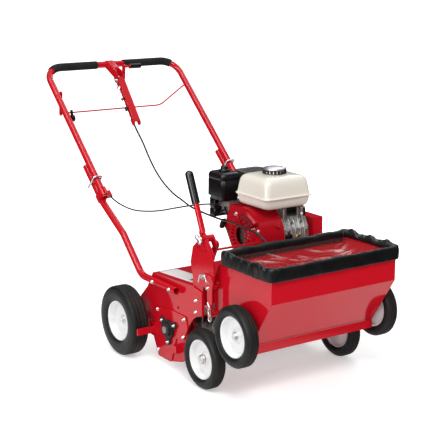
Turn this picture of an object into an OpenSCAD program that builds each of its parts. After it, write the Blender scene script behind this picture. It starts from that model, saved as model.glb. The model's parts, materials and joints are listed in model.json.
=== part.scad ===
/* [Wheels] */
// Outside diameter of the rear tyres
rear_wheel_d = 254; // [240:1:262]
// Width of the rear tyres
rear_tyre_w = 69; // [60:1:72]
// Diameter of the rear rims
rear_rim_d = 146; // [120:1:160]
// Distance between the middles of the rear tyres
rear_track = 685; // [680:1:720]
// Outside diameter of the front and hopper tyres
front_wheel_d = 204; // [196:1:208]
// Width of the front and hopper tyres
front_tyre_w = 48; // [42:1:50]
// Diameter of the front and hopper rims
front_rim_d = 136; // [110:1:150]
// Distance between the middles of the front tyres, and of the hopper tyres
front_track = 578; // [574:1:600]
// Diameter of the rear and front axles
axle_d = 19; // [16:0.5:22]
// Distance from the rear axle to the front axle
wheelbase = 447; // [444:1:452]

/* [Frame] */
// Width over the two side plates
frame_w = 574; // [570:1:578]
// Thickness of the side plates
plate_t = 5; // [4:0.5:6]
// Thickness of the deck sheet
deck_t = 4; // [3:0.5:6]
// Height of the deck underside at its rear edge
deck_rear_z = 317; // [314:1:322]
// Height of the deck underside at its front edge
deck_front_z = 333; // [330:1:338]
// Thickness of the hopper brackets
bracket_t = 6; // [4:0.5:7]
// Diameter of the accessory hole in each side plate
accessory_d = 11; // [8:0.5:14]

/* [Reel] */
// Diameter over the blade tips
reel_d = 270; // [230:2:276]
// Width of the reel over its outer blades
reel_w = 460; // [400:2:462]
// Number of slicing blades
blade_count = 12; // [6:1:16]
// Thickness of a slicing blade
blade_t = 3; // [2:0.5:5]
// Diameter of the reel shaft
reel_shaft_d = 25; // [20:0.5:30]
// Diameter of the reel pulley
reel_pulley_d = 110; // [90:1:112]
// Diameter of the engine pulley
drive_pulley_d = 70; // [60:1:76]

/* [Hopper] */
// Width of the hopper over its end panels
hopper_w = 508; // [490:1:510]
// Depth of the hopper from front wall to rear wall
hopper_l = 265; // [255:1:272]
// Thickness of the hopper sheet
hopper_wall = 2.5; // [1.5:0.5:4]
// Height of the hopper rim above the ground
hopper_rim_z = 470; // [462:1:474]
// Height of the hopper axle above the ground
hopper_axle_z = 233; // [230:1:238]
// Diameter of the agitator shaft
agitator_d = 16; // [12:0.5:20]
// How far the seed gate slides
gate_travel = 16; // [10:1:18]

/* [Handle] */
// Diameter of the handle tubes
tube_d = 25.4; // [22:0.2:26]
// Wall of the handle tubes
tube_wall = 2; // [1.5:0.5:3]
// Distance between the middles of the two handle legs
handle_w = 600; // [600:1:606]
// How far the handle bar lies behind the rear axle
bar_back = 683; // [670:1:700]
// Height of the handle bar
bar_z = 971; // [960:1:985]
// Slope of the handle legs in degrees
leg_slope = 42.3; // [41:0.1:44]
// Length of the handle legs
leg_length = 647; // [640:1:660]
// Bend radius of the handle corners
corner_bend = 70; // [60:1:80]
// Outside diameter of the foam grips
grip_d = 32; // [29:0.5:36]
// Diameter of the bail wire
bail_d = 6; // [5:0.5:7]

/* [Engine] */
// How far the crankshaft lies in front of the rear axle
crank_front = 285; // [282:1:288]
// Height of the crankshaft
crank_z = 454; // [452:1:458]
// Radius of the fan cover
fan_cover_r = 98; // [92:1:100]
// Length of the fuel tank across the machine
tank_w = 200; // [180:1:210]
// Length of the fuel tank along the machine
tank_l = 192; // [180:1:196]
// Height of the seam of the fuel tank
tank_seam_z = 598; // [594:1:602]
// Height of the top of the fuel tank
tank_top_z = 668; // [662:1:676]
// Diameter of the fuel cap
fuel_cap_d = 84; // [70:1:90]
// Width of the belt guard
guard_w = 44; // [43:0.5:46]
// Height of the belt guard top
guard_top_z = 495; // [494:1:505]

/* [Depth control] */
// Radius of the arc of holes in the quadrant
quadrant_r = 42; // [38:1:46]
// Number of holes in the quadrant
quadrant_holes = 5; // [3:1:5]
// Angle between two quadrant holes in degrees
quadrant_step = 19; // [16:1:20]
// Diameter of the side lever
lever_d = 20; // [16:0.5:22]
// Diameter of the side lever grip
lever_grip_d = 28; // [25:0.5:30]
// Diameter of the stay rod in front of the engine
stay_d = 8; // [6:0.5:10]

/* [Cables] */
// Diameter of the seed cable
seed_cable_d = 7; // [5:0.5:8]
// Diameter of the throttle cable
throttle_cable_d = 6; // [5:0.5:7]

/* [Hidden] */
$fn = 64;
// Radial clearance of a shaft that turns in a bore
run_gap = 0.05;
// Gap between curved faces of pieces that are fixed together
seat_gap = 0.15;
// Gap between pieces that move past each other
clear = 0.4;
// Extra length of a cutting shape past the face that it cuts
over = 1;

// Places along the machine are distances behind the rear axle, so places in front of it are negative
hopper_front = -769;
hopper_rear = hopper_front + hopper_l;
band_t = 6;
rear_axle_y = -(hopper_front - band_t + bar_back + grip_d / 2) / 2;

plate_out = frame_w / 2;
plate_in = plate_out - plate_t;
rear_axle = [0, rear_wheel_d / 2];
front_axle_at = [-wheelbase, front_wheel_d / 2];
hopper_axle_at = [hopper_front + 137, hopper_axle_z];
reel_at = [-226, 145];
crank_at = [-crank_front, crank_z];

// Deck
deck_rear = -110;
deck_front = -380;
function deck_under(y) =
    deck_rear_z + (deck_front_z - deck_rear_z) * (y - deck_rear) / (deck_front - deck_rear);
link_x = reel_w / 2 + 3.5;
link_t = 5;
arm_x = link_x + link_t + 0.5;
arm_t = 8;
belt_x = 269;
belt_w = 11;
pulley_w = 18;
guard_x = plate_out - guard_w;
guard_front = -345;
guard_rear = -200;
guard_wall = 2.5;

// Front axle swing
swing_at = [-289, 92];
swing_pin_d = 16;
swing_block = 26;
swing_block_t = 24;
ear_at = [-304, 242];
ear_pin_d = 10;
wheel_arch_r = front_wheel_d / 2 + 8;
wheel_arch_at = [front_axle_at[0] + 4, front_axle_at[1] + 32];

// Depth lever
lever_at = [-424, 507];
lever_pin_d = 16;
rest_angle = quadrant_step * (quadrant_holes - 1) / 2;
function lever_point(r, a) = [lever_at[0] - r * sin(a), lever_at[1] - r * cos(a)];
link_pin_r = 25;
link_pin_d = 10;
link_top = lever_point(link_pin_r, 38);
bracket_in = plate_in - bracket_t;
lever_plate_t = 6;
lever_plate_x = bracket_in - clear - lever_plate_t;
lever_kink = [-409, 525];
lever_tip = [-328, 706];
lever_grip_l = 100;
crank_t = 6;
crank_x = arm_x + 0.5;

// Hopper
hopper_half = hopper_w / 2;
hopper_bend_z = 365;
hopper_foot_z = 200;
base_front = hopper_front + 107;
base_rear = hopper_front + 193;
base_z = 170;
base_t = 3;
gate_t = 3;
gate_z = base_z + base_t + clear;
seed_pitch = 40;
seed_slots = 11;
seed_slot = [14, 34];
function seed_slot_x(k) = (k - (seed_slots - 1) / 2) * seed_pitch;
gate_tab_x = -45;
gate_tab_w = 24;
hitch_at = [-441, 385];
hitch_pin_d = 12;
arm_bolt_at = [-465, 350];
arm_foot_at = [-475, 262];
hopper_arm_t = 5.5;
hopper_arm_x = plate_in + clear;
bush_d = 26;
bush_flange_d = 40;
bush_out = 7;

// Handle
handle_half = handle_w / 2;
bar_at = [bar_back, bar_z];
function leg_point(s) = [bar_back - s * cos(leg_slope), bar_z - s * sin(leg_slope)];
tube_step = tube_d + 2;
function under_leg(p, d) = [p[0] + d * sin(leg_slope), p[1] - d * cos(leg_slope)];
low_tube_top = under_leg(leg_point(475), tube_step);
low_tube_bend = under_leg(leg_point(652), tube_step);
low_tube_pts = [low_tube_top, low_tube_bend, [72, 426], [-58, 300], [-291, 300]];
bail_at = leg_point(140);
bail_drop = 75;
bail_tilt = -84.7;
grip_arc = 40;
seed_x = -10;
seed_pivot = [601, 922];
seed_channel_top = [612, 938];
seed_channel_low = [470, 758];
seed_lever_d = 10;

// Engine
case_x0 = 88;
case_x1 = 203;
engine_foot_z = 348;
barrel_slope = 22;
barrel_x0 = 96;
barrel_x1 = 184;
barrel_start = 76;
barrel_l = 74;
barrel_half = 46;
function barrel_point(s, t) = [
    crank_at[0] + s * cos(barrel_slope) - t * sin(barrel_slope),
    crank_at[1] + s * sin(barrel_slope) + t * cos(barrel_slope)];
fan_x0 = -14;
fan_wall = 2.5;
recoil_x0 = -32;
recoil_r = 74;
recoil_eye_r = 31;
pto_d = 20;
tank_x0 = -8;
tank_front = -404;
tank_bottom_z = 556;
neck_d = 50;
cap_at = [tank_x0 + 104, tank_front + 96];

// Route of the seed cable, from the pull rod to the seed gate
seed_route = [[-12, 486, 752], [-12, 474, 738], [-12, 420, 688], [-12, 361, 623], [-12, 292, 566],
    [-14, 202, 525], [-30, 100, 512], [-42, 20, 503], [-52, -60, 502], [-62, -150, 503],
    [-70, -225, 506], [-76, -290, 511],
    [-76, -350, 508], [-70, -400, 502], [-62, -440, 492], [-54, -468, 474], [-49, -482, 446],
    [-46, -488, 400], [-45, -494, 350], [-45, -510, 300], [-45, -532, 250], [-45, -554, 212],
    [-45, -565, 192], [-45, -567, 177]];
// Route of the throttle cable, from the right clamp to the carburettor
throttle_route = [[-270, 214, 534], [-270, 202, 529], [-267, 184, 522], [-255, 146, 509], [-230, 114, 497],
    [-198, 84, 494], [-160, 48, 498], [-120, 8, 510], [-80, -30, 521], [-50, -58, 527], [-22, -84, 530],
    [-4, -96, 530], [5, -102, 530]];

// Helpers

module at_axle() translate([0, rear_axle_y, 0]) children();

module both_sides() {
    children();
    mirror([1, 0, 0]) children();
}

// Extrudes an outline of points [along, up] from one place across the machine to another
module across(x0, x1) translate([x0, 0, 0]) rotate([90, 0, 90]) linear_extrude(x1 - x0) children();

module cross_rod(d, x0, x1, p) translate([x0, p[0], p[1]]) rotate([0, 90, 0]) cylinder(d = d, h = x1 - x0);

module hex_head(d, h, x, p) translate([x, p[0], p[1]]) rotate([0, 90, 0]) cylinder(d = d, h = h, $fn = 6);

module disc(p, r) translate(p) circle(r);

// A flat bar with round ends between two points, its straight edges a hair inside the round ends
strap_step = 0.1;
module strap(a, b, r) {
    d = b - a;
    half = r - strap_step;
    disc(a, r);
    disc(b, r);
    translate(a) rotate(atan2(d[1], d[0])) translate([0, -half]) square([norm(d), 2 * half]);
}

function turn_at(pts, i) = let (
    a = pts[i] - pts[i - 1],
    b = pts[i + 1] - pts[i])
    atan2(a[0] * b[1] - a[1] * b[0], a[0] * b[0] + a[1] * b[1]);

// A round bar along points in a plane, with a bend radius for each inner point
// Each bend is a little thicker than the straights and laps over their ends
bend_lap = 1;
bend_step = 0.05;
module bent_bar(pts, bends, r, extra = 0) {
    n = len(pts);
    turns = [for (i = [0 : n - 1]) i == 0 || i == n - 1 ? 0 : turn_at(pts, i)];
    trims = [for (i = [0 : n - 1])
        i == 0 || i == n - 1 ? -extra : bends[i - 1] * tan(abs(turns[i]) / 2) - bend_lap];
    for (i = [0 : n - 2]) {
        d = (pts[i + 1] - pts[i]) / norm(pts[i + 1] - pts[i]);
        translate(pts[i] + d * trims[i]) rotate([0, 0, atan2(d[1], d[0])]) rotate([0, 90, 0])
            cylinder(r = r, h = norm(pts[i + 1] - pts[i]) - trims[i] - trims[i + 1]);
    }
    for (i = [1 : n - 2]) {
        d = (pts[i] - pts[i - 1]) / norm(pts[i] - pts[i - 1]);
        side = turns[i] > 0 ? 1 : -1;
        middle = pts[i] - d * (trims[i] + bend_lap) + side * bends[i - 1] * [-d[1], d[0]];
        translate(middle) rotate([0, 0, atan2(-side * d[0], side * d[1]) + min(turns[i], 0)])
            rotate_extrude(angle = abs(turns[i])) translate([bends[i - 1], 0]) circle(r + bend_step);
    }
}

module bent_tube(pts, bends, d, wall) difference() {
    bent_bar(pts, bends, d / 2);
    bent_bar(pts, bends, d / 2 - wall, over);
}

// A round cord swept along its route with eight sides
module cord(route, d) {
    n = len(route);
    sides = 8;
    aims = [for (i = [0 : n - 1]) let (v = route[min(i + 1, n - 1)] - route[max(i - 1, 0)]) v / norm(v)];
    sideways = [for (t = aims) let (v = cross(t, [0.31, 0.17, 0.93])) v / norm(v)];
    points = [for (i = [0 : n - 1]) for (k = [0 : sides - 1])
        let (a = 360 * k / sides)
        route[i] + d / 2 * (cos(a) * sideways[i] + sin(a) * cross(aims[i], sideways[i]))];
    walls = [for (i = [0 : n - 2]) for (k = [0 : sides - 1])
        [i * sides + k, i * sides + (k + 1) % sides, (i + 1) * sides + (k + 1) % sides, (i + 1) * sides + k]];
    start = [for (k = [0 : sides - 1]) sides - 1 - k];
    end = [for (k = [0 : sides - 1]) (n - 1) * sides + k];
    polyhedron(points, concat(walls, [start, end]), convexity = 4);
}

module rounded_block(size, r) hull() for (x = [r, size[0] - r], y = [r, size[1] - r])
    translate([x, y, 0]) cylinder(r = r, h = size[2], $fn = 32);

// Wheels

rib_groove = [2, 3];
bead_inset = 8;

module tyre(d, rim_d, w) color([0.13, 0.13, 0.13]) rotate([0, 90, 0]) rotate_extrude() difference() {
    r = d / 2;
    seat = rim_d / 2 + seat_gap;
    half = [[seat, w / 2 - bead_inset], [seat + 8, w / 2 - 2], [r - 14, w / 2],
        [r - 4, w / 2 - 5], [r, w / 2 - 12]];
    polygon(concat(half, [for (i = [4 : -1 : 0]) [half[i][0], -half[i][1]]]));
    for (k = [-1 : 1]) translate([r - rib_groove[0], k * w / 5 - rib_groove[1] / 2])
        square([rib_groove[0] + over, rib_groove[1]]);
}

rim_wall = 4;
rim_hub_r = 18;
rim_web_out = -2;

module rim(d, w, bore_d) color([0.95, 0.95, 0.94]) rotate([0, 90, 0]) rotate_extrude() {
    r = d / 2;
    half = w / 2 - bead_inset + 1;
    bore = bore_d / 2 + run_gap;
    polygon([[bore, -w / 2], [rim_hub_r, -w / 2], [rim_hub_r, rim_web_out - rim_wall],
        [rim_hub_r + 18, rim_web_out - rim_wall], [r - rim_wall, half - 8], [r - rim_wall, -half], [r, -half],
        [r, half], [r - rim_wall, half], [rim_hub_r + 16, rim_web_out],
        [rim_hub_r, rim_web_out], [rim_hub_r - 3, rim_web_out + 6], [bore, rim_web_out + 6]]);
}

module rear_tyre() at_axle() translate([rear_track / 2, rear_axle[0], rear_axle[1]])
    tyre(rear_wheel_d, rear_rim_d, rear_tyre_w);
module rear_rim() at_axle() translate([rear_track / 2, rear_axle[0], rear_axle[1]])
    rim(rear_rim_d, rear_tyre_w, axle_d);
module front_tyre(p) at_axle() translate([front_track / 2, p[0], p[1]])
    tyre(front_wheel_d, front_rim_d, front_tyre_w);
module front_rim(p, bore_d) at_axle() translate([front_track / 2, p[0], p[1]])
    rim(front_rim_d, front_tyre_w, bore_d);

module rear_tyre_right() mirror([1, 0, 0]) rear_tyre();
module rear_rim_right() mirror([1, 0, 0]) rear_rim();
module rear_tyre_left() rear_tyre();
module rear_rim_left() rear_rim();
module front_tyre_right() mirror([1, 0, 0]) front_tyre(front_axle_at);
module front_rim_right() mirror([1, 0, 0]) front_rim(front_axle_at, axle_d);
module front_tyre_left() front_tyre(front_axle_at);
module front_rim_left() front_rim(front_axle_at, axle_d);
module hopper_tyres() both_sides() front_tyre(hopper_axle_at);
module hopper_rims() both_sides() front_rim(hopper_axle_at, agitator_d + 2 * (seat_gap - run_gap));

// A straight axle with a hex bolt and a washer outside each wheel, and a collar inside it
module wheel_axle(d, track, tyre_w, inner, p) {
    hub_in = track / 2 - tyre_w / 2 - clear;
    hub_out = track / 2 + rim_web_out + 6 + clear;
    cross_rod(d, -hub_out, hub_out, p);
    both_sides() {
        cross_rod(d + 12, inner, hub_in, p);
        cross_rod(d + 10, hub_out, hub_out + 2.5, p);
        hex_head(d + 3, 8, hub_out + 2.5, p);
    }
}

module rear_axle() color("silver") at_axle()
    wheel_axle(axle_d, rear_track, rear_tyre_w, plate_out, rear_axle);

module front_axle() color([0.72, 0.06, 0.12]) at_axle() {
    wheel_axle(axle_d, front_track, front_tyre_w, arm_x + arm_t / 2, front_axle_at);
    both_sides() {
        across(arm_x, arm_x + arm_t) strap(swing_at, front_axle_at, 18);
        cross_rod(swing_pin_d, arm_x + arm_t / 2, plate_out + swing_block_t - 4, swing_at);
    }
    mirror([1, 0, 0]) {
        across(arm_x, arm_x + arm_t) strap(swing_at, ear_at, 13);
        cross_rod(ear_pin_d, link_x - 1, arm_x + arm_t / 2, ear_at);
    }
}

// Frame

red = [0.78, 0.06, 0.13];

module deck_profile(thick) polygon([[deck_rear, deck_under(deck_rear)],
    [deck_rear, deck_under(deck_rear) + thick], [deck_front, deck_under(deck_front) + thick],
    [deck_front, deck_under(deck_front)]]);

apron_t = 4;
rear_apron_z = 238;
front_apron_z = 262;
link_slot = [-378, -296];
belt_slot = [-335, -190];
rail_w = 26;
rail_gap = 94;
rail_rear = -196;
rail_front = -376;

stay_at = [-372, 447];
stay_x = 12 - link_x;
stay_bend = 15;
module stay_rod() translate([0, stay_at[0], 0]) rotate([90, 0, 0])
    bent_bar([[stay_x, deck_under(stay_at[0]) + deck_t - 1], [stay_x, stay_at[1]], [fan_x0, stay_at[1]]],
        [stay_bend], stay_d / 2);

module deck() color(red) at_axle() {
    stay_rod();
    difference() {
        union() {
            across(-plate_out, plate_out) deck_profile(deck_t);
            across(-plate_in, plate_in) polygon([[deck_rear, deck_under(deck_rear) + deck_t / 2],
                [deck_rear, rear_apron_z], [deck_rear - apron_t, rear_apron_z],
                [deck_rear - apron_t, deck_under(deck_rear) + deck_t / 2]]);
            across(-bracket_in, bracket_in) polygon([[deck_front, deck_under(deck_front) + deck_t / 2],
                [deck_front, front_apron_z], [deck_front + apron_t, front_apron_z],
                [deck_front + apron_t, deck_under(deck_front) + deck_t / 2]]);
            for (k = [-1, 1]) translate([(case_x0 + case_x1) / 2 + k * rail_gap / 2 - rail_w / 2, 0, 0])
                across(0, rail_w) polygon([[rail_rear, deck_under(rail_rear) + deck_t / 2],
                    [rail_rear, engine_foot_z], [rail_front, engine_foot_z],
                    [rail_front, deck_under(rail_front) + deck_t / 2]]);
        }
        mirror([1, 0, 0]) translate([link_x - 4, link_slot[0], deck_rear_z - over])
            cube([link_t + 8, link_slot[1] - link_slot[0], deck_front_z - deck_rear_z + deck_t + 2 * over]);
        both_sides() translate([bracket_in, deck_front - over, deck_rear_z])
            cube([bracket_t, bracket_rear - deck_front + over, deck_front_z - deck_rear_z + deck_t + over]);
        translate([belt_x - pulley_w / 2 - 3, belt_slot[0], deck_rear_z - over])
            cube([pulley_w + 6, belt_slot[1] - belt_slot[0], deck_front_z - deck_rear_z + deck_t + 2 * over]);
    }
}

plate_front = -428;
plate_foot_z = 23;
plate_outline = [[deck_rear, deck_under(deck_rear)], [deck_front, deck_under(deck_front)],
    [plate_front, deck_under(deck_front) - 6], [plate_front, 238], [-333, 134], [-333, 62], [-306, 46],
    [-221, plate_foot_z], [-146, plate_foot_z], [-112, 88],
    [-30, 88], [26, 100], [26, 156], [-24, 213], [-74, 262]];
bearing_plate_t = 4;
bearing_plate_outline = [[-136, 204], [-212, 217], [-334, 217], [-344, 176], [-318, 128], [-270, 122],
    [-240, 34], [-150, 34], [-124, 92]];
bearing_hole_d = 62;
bearing_bolts = [[-148, 196], [-322, 204], [-318, 140], [-150, 48]];
bracket_bolts = [[-392, 289], [-392, 249]];
tube_bolts = [[-150, 300], [-262, 300]];
accessory_at = [-280, 236];

module side_plate() difference() {
    union() {
        across(plate_in, plate_out) polygon(plate_outline);
        across(plate_out, plate_out + swing_block_t) translate(swing_at)
            square(swing_block, center = true);
    }
    translate([0, wheel_arch_at[0], wheel_arch_at[1]]) rotate([0, 90, 0])
        cylinder(r = wheel_arch_r, h = frame_w);
    cross_rod(axle_d + 2 * seat_gap, 0, frame_w, rear_axle);
    cross_rod(bearing_hole_d, 0, frame_w, reel_at);
    cross_rod(swing_pin_d + 2 * run_gap, 0, plate_out + swing_block_t - 3, swing_at);
    cross_rod(accessory_d, 0, frame_w, accessory_at);
}

module bearing_plate() difference() {
    across(plate_out, plate_out + bearing_plate_t) polygon(bearing_plate_outline);
    cross_rod(bearing_hole_d, 0, frame_w, reel_at);
}

module side_plates() color(red) at_axle() both_sides() {
    side_plate();
    bearing_plate();
    wheel_scraper();
}

lobe_r = 15;
plain_bracket_z = 446;
bracket_rear = -366;
module bracket_outline(top) {
    lobe = top > 500;
    if (lobe) disc(lever_at, lobe_r);
    polygon([lobe ? lever_at + [lobe_r, 0] : [-400, top], lobe ? [-366, 470] : [-366, top - 14], [-352, 414],
        [bracket_rear, 366], [bracket_rear, 244], [plate_front, 244],
        [plate_front, 352], [-444, 366], [-490, 380],
        [-490, lobe ? 440 : top - 26], lobe ? lever_at - [lobe_r, 0] : [-450, top]]);
}

module hopper_bracket(top) difference() {
    across(bracket_in, plate_in) bracket_outline(top);
    cross_rod(hitch_pin_d + 2 * seat_gap, 0, frame_w, hitch_at);
}

module hopper_brackets() color(red) at_axle() {
    mirror([1, 0, 0]) difference() {
        hopper_bracket(lever_at[1]);
        cross_rod(lever_pin_d + 2 * run_gap, 0, frame_w, lever_at);
        for (k = [0 : quadrant_holes - 1])
            cross_rod(6, 0, frame_w, lever_point(quadrant_r, rest_angle - k * quadrant_step));
    }
    hopper_bracket(plain_bracket_z);
}

bearing_t = 18;
bearing_r = 34;
bearing_ear_r = 46;

module reel_bearing() translate([plate_out + bearing_plate_t, reel_at[0], reel_at[1]])
    rotate([90, 0, 90]) difference() {
        union() {
            linear_extrude(7) for (k = [0 : 2]) rotate(30 + 120 * k) strap([0, 0], [bearing_ear_r, 0], 12);
            cylinder(r = bearing_r, h = 10);
            cylinder(r = 24, h = bearing_t);
        }
        translate([0, 0, -over]) cylinder(d = reel_shaft_d + 2 * run_gap, h = bearing_t + 2 * over);
    }

scraper_at = [-rear_wheel_d / 2 - 11, rear_axle[1] - 19];
module wheel_scraper() {
    across(plate_out + bearing_plate_t, rear_track / 2 + rear_tyre_w / 2 - 10) translate(scraper_at)
        square([6, 24]);
    across(plate_out + bearing_plate_t, plate_out + bearing_plate_t + 6) translate(scraper_at + [0, -10])
        square([34, 44]);
}

bolt_d = 14;
module round_head(d, h, x, p) translate([x, p[0], p[1]]) rotate([0, 90, 0])
    cylinder(d1 = d, d2 = d * 0.6, h = h);

ubolt_d = 8;
ubolt_s = 560;
ubolt_bend = 10;
module ubolt() {
    a = leg_point(ubolt_s);
    r = tube_d / 2 + ubolt_d / 2 + clear;
    translate([handle_half, a[0], a[1]]) rotate([leg_slope - 90, 0, 0])
        bent_bar([[r, tube_step + 24], [r, -r], [-r, -r], [-r, tube_step + 24]],
            [ubolt_bend, ubolt_bend], ubolt_d / 2);
}

module frame_bolts() color("silver") at_axle() both_sides() {
    for (p = bearing_bolts) round_head(bolt_d, 6, plate_out + bearing_plate_t, p);
    for (p = bracket_bolts) round_head(bolt_d, 6, plate_out, p);
    for (p = tube_bolts) round_head(bolt_d, 6, handle_half + tube_d / 2 + seat_gap, p);
    for (k = [0 : 2]) round_head(bolt_d - 2, 6, plate_out + bearing_plate_t + 7,
        reel_at + bearing_ear_r * [cos(30 + 120 * k), sin(30 + 120 * k)]);
    ubolt();
}

module belt_guard() color(red) at_axle() difference() {
    across(guard_x, plate_out) polygon([[guard_rear, deck_under(guard_rear) + deck_t],
        [guard_rear, guard_top_z - 70], [guard_rear - 50, guard_top_z], [guard_front, guard_top_z],
        [guard_front, deck_under(guard_front) + deck_t]]);
    across(guard_x + guard_wall, plate_out - guard_wall) polygon([[guard_rear - guard_wall, deck_rear_z],
        [guard_rear - guard_wall, guard_top_z - 71], [guard_rear - 51, guard_top_z - guard_wall],
        [guard_front + guard_wall, guard_top_z - guard_wall], [guard_front + guard_wall, deck_rear_z]]);
    cross_rod(pto_d + 14, guard_x - over, guard_x + guard_wall + over, crank_at);
}

// Handle

module lower_handle_tubes() color(red) at_axle() {
    both_sides() translate([handle_half, 0, 0]) rotate([90, 0, 90])
        bent_tube(low_tube_pts, [75, 75, 60], tube_d, tube_wall);
    clamp_brackets();
}

module handle_plane() translate([0, bar_at[0], bar_at[1]]) rotate([180 + leg_slope, 0, 0]) children();

module upper_handle() color(red) at_axle() difference() {
    handle_plane() bent_tube([[-handle_half, leg_length], [-handle_half, 0], [handle_half, 0],
        [handle_half, leg_length]], [corner_bend, corner_bend], tube_d, tube_wall);
    both_sides() cross_rod(bail_d + 2 * run_gap, handle_half - tube_d, handle_half, bail_at);
}

module grip(inner) {
    corner = handle_half - corner_bend;
    translate([inner, 0, 0]) rotate([0, 90, 0]) difference() {
        cylinder(d = grip_d, h = corner - inner);
        translate([0, 0, -over]) cylinder(d = tube_d + 2 * seat_gap, h = corner - inner + 2 * over);
    }
    translate([corner, corner_bend, 0]) rotate([0, 0, -90]) rotate_extrude(angle = grip_arc)
        translate([corner_bend, 0]) difference() {
            circle(d = grip_d);
            circle(d = tube_d + 2 * seat_gap);
        }
}

module handle_grips() color([0.15, 0.15, 0.15]) at_axle() handle_plane() {
    grip(52);
    mirror([1, 0, 0]) grip(70);
}

clamp_s = 628;
clamp_l = 26;
module clamp_brackets() both_sides() {
    a = leg_point(clamp_s);
    translate([handle_half, a[0], a[1]]) rotate([leg_slope - 90, 0, 0]) translate([0, 0, -clamp_l / 2])
        linear_extrude(clamp_l) difference() {
            union() {
                strap([0, 0], [0, tube_step], tube_d / 2 + 4);
                strap([0, tube_step / 2], [-30, tube_step / 2 - 6], 7);
                strap([0, 0], [0, -22], 6);
            }
            for (k = [0, 1]) disc([0, k * tube_step], tube_d / 2 + seat_gap);
        }
}

// Centre bracket and seed lever

seed_plate_t = 4;
seed_gap = 22;
seed_half = seed_gap / 2 + seed_plate_t;
seed_pin_d = 10;
pull_arm = 16;
pull_pin_d = 6;
pull_l = 190;
seed_block_end = bar_at + 0.6 * (seed_channel_top - bar_at);
channel_dir = (seed_channel_low - seed_pivot) / norm(seed_channel_low - seed_pivot);
channel_up = [channel_dir[1], -channel_dir[0]];
pull_at = seed_pivot - pull_arm * channel_up;
pull_x = seed_x - 2;

module seed_lever_bracket() color(red) at_axle() difference() {
    union() {
        across(seed_x - seed_half, seed_x + seed_half) strap(bar_at, seed_block_end, tube_d / 2 + 3);
        for (x = [seed_x - seed_half, seed_x + seed_half - seed_plate_t]) across(x, x + seed_plate_t) {
            strap(seed_block_end, seed_channel_top, tube_d / 2 + 3);
            strap(seed_channel_top, seed_pivot, 16);
            strap(seed_pivot, seed_channel_low, 11);
        }
        across(seed_x - seed_half, seed_x + seed_half) polygon([seed_pivot + 11 * channel_up,
            seed_channel_low + 11 * channel_up,
            seed_channel_low + 7 * channel_up, seed_pivot + 7 * channel_up]);
    }
    cross_rod(tube_d + 2 * seat_gap, -frame_w, frame_w, bar_at);
    cross_rod(seed_pin_d, -frame_w, frame_w, seed_pivot);
}

module seed_lever() color(red) at_axle() {
    reach = seed_pivot + [-4, 46];
    rod_x = seed_x + seed_half + 4;
    cross_rod(seed_pin_d - 2 * run_gap, seed_x - seed_half - 3, rod_x, seed_pivot);
    across(rod_x - 3, rod_x + 3) strap(seed_pivot, reach, 9);
    cross_rod(seed_lever_d, rod_x, rod_x + 26, reach);
    cross_rod(18, rod_x + 26, rod_x + 76, reach);
    across(pull_x - 8, pull_x - 4) strap(seed_pivot, pull_at, 7);
    cross_rod(pull_pin_d, pull_x - 6, pull_x + 4, pull_at);
}

// The eye of the pull rod is a slot, because the lever's pin moves on an arc
module pull_rod() color("silver") at_axle() {
    end = pull_at + pull_l * channel_dir;
    difference() {
        across(pull_x - 2.5, pull_x + 2.5) strap(pull_at, pull_at + 16 * channel_dir, 9);
        across(pull_x - 4, pull_x + 4)
            strap(pull_at - channel_up, pull_at + 4.5 * channel_up, pull_pin_d / 2 + clear + 0.3);
    }
    rotate_x = atan2(channel_dir[1], channel_dir[0]);
    translate([pull_x, pull_at[0] + 16 * channel_dir[0], pull_at[1] + 16 * channel_dir[1]])
        rotate([rotate_x - 90, 0, 0]) cylinder(d = 7, h = pull_l - 16);
    translate([pull_x, end[0], end[1]]) rotate([rotate_x - 90, 0, 0]) cylinder(d = 12, h = 12);
}

module bail() color(red) at_axle() translate([0, bail_at[0], bail_at[1]]) rotate([bail_tilt, 0, 0]) {
    inside = handle_half - tube_d / 2 - 2;
    bent_bar([[handle_half - 3, 0], [inside - 4, 0], [172, bail_drop], [-inside + 2, bail_drop]],
        [14, 60], bail_d / 2);
    translate([-inside - 0.5, 0, 0]) rotate([0, 90, 0]) linear_extrude(5) difference() {
        strap([0, -4], [0, bail_drop], 9);
        disc([6, bail_drop / 2], 2.5);
    }
    translate([-handle_half + 3, 0, 0]) rotate([0, 90, 0])
        cylinder(d = bail_d, h = handle_half - 3 - inside + 2);
}

throttle_s = 262;
module hand_throttle() color([0.12, 0.12, 0.12]) at_axle() {
    p = leg_point(throttle_s);
    x = -handle_half + tube_d / 2 + clear;
    cross_rod(26, x, x + 12, p);
    across(x + 3, x + 9) strap(p, p + [8, 26], 6);
}

// Engine

module crankcase() color([0.72, 0.72, 0.7]) at_axle() difference() {
    union() {
        across(case_x0, case_x1) polygon([[-378, engine_foot_z], [-378, engine_foot_z + 10],
            [-368, engine_foot_z + 14], crank_at + [-88, -40], crank_at + [-84, 20], crank_at + [-60, 60],
            crank_at + [-20, 78], barrel_point(barrel_start, barrel_half + 4),
            barrel_point(barrel_start, -barrel_half - 4), [-198, engine_foot_z + 10], [-196, engine_foot_z]]);
        cross_rod(130, case_x1, case_x1 + 12, crank_at);
        cross_rod(60, case_x1 + 12, case_x1 + 26, crank_at);
        for (k = [0 : 5])
            cross_rod(14, case_x1 + 12, case_x1 + 18, crank_at + 54 * [cos(60 * k), sin(60 * k)]);
        for (k = [0 : 1]) translate([case_x0 + 24 + 62 * k, crank_at[0] - 62, crank_at[1] + 40])
            cylinder(d = 16, h = tank_bottom_z - 1 - crank_at[1] - 40);
    }
    cross_rod(pto_d + 2 * run_gap, case_x0 - over, case_x1 + 40, crank_at);
}

fin_t = 3;
fin_count = 7;
module barrel_frame() translate([0, crank_at[0], crank_at[1]]) rotate([barrel_slope, 0, 0]) children();

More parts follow.
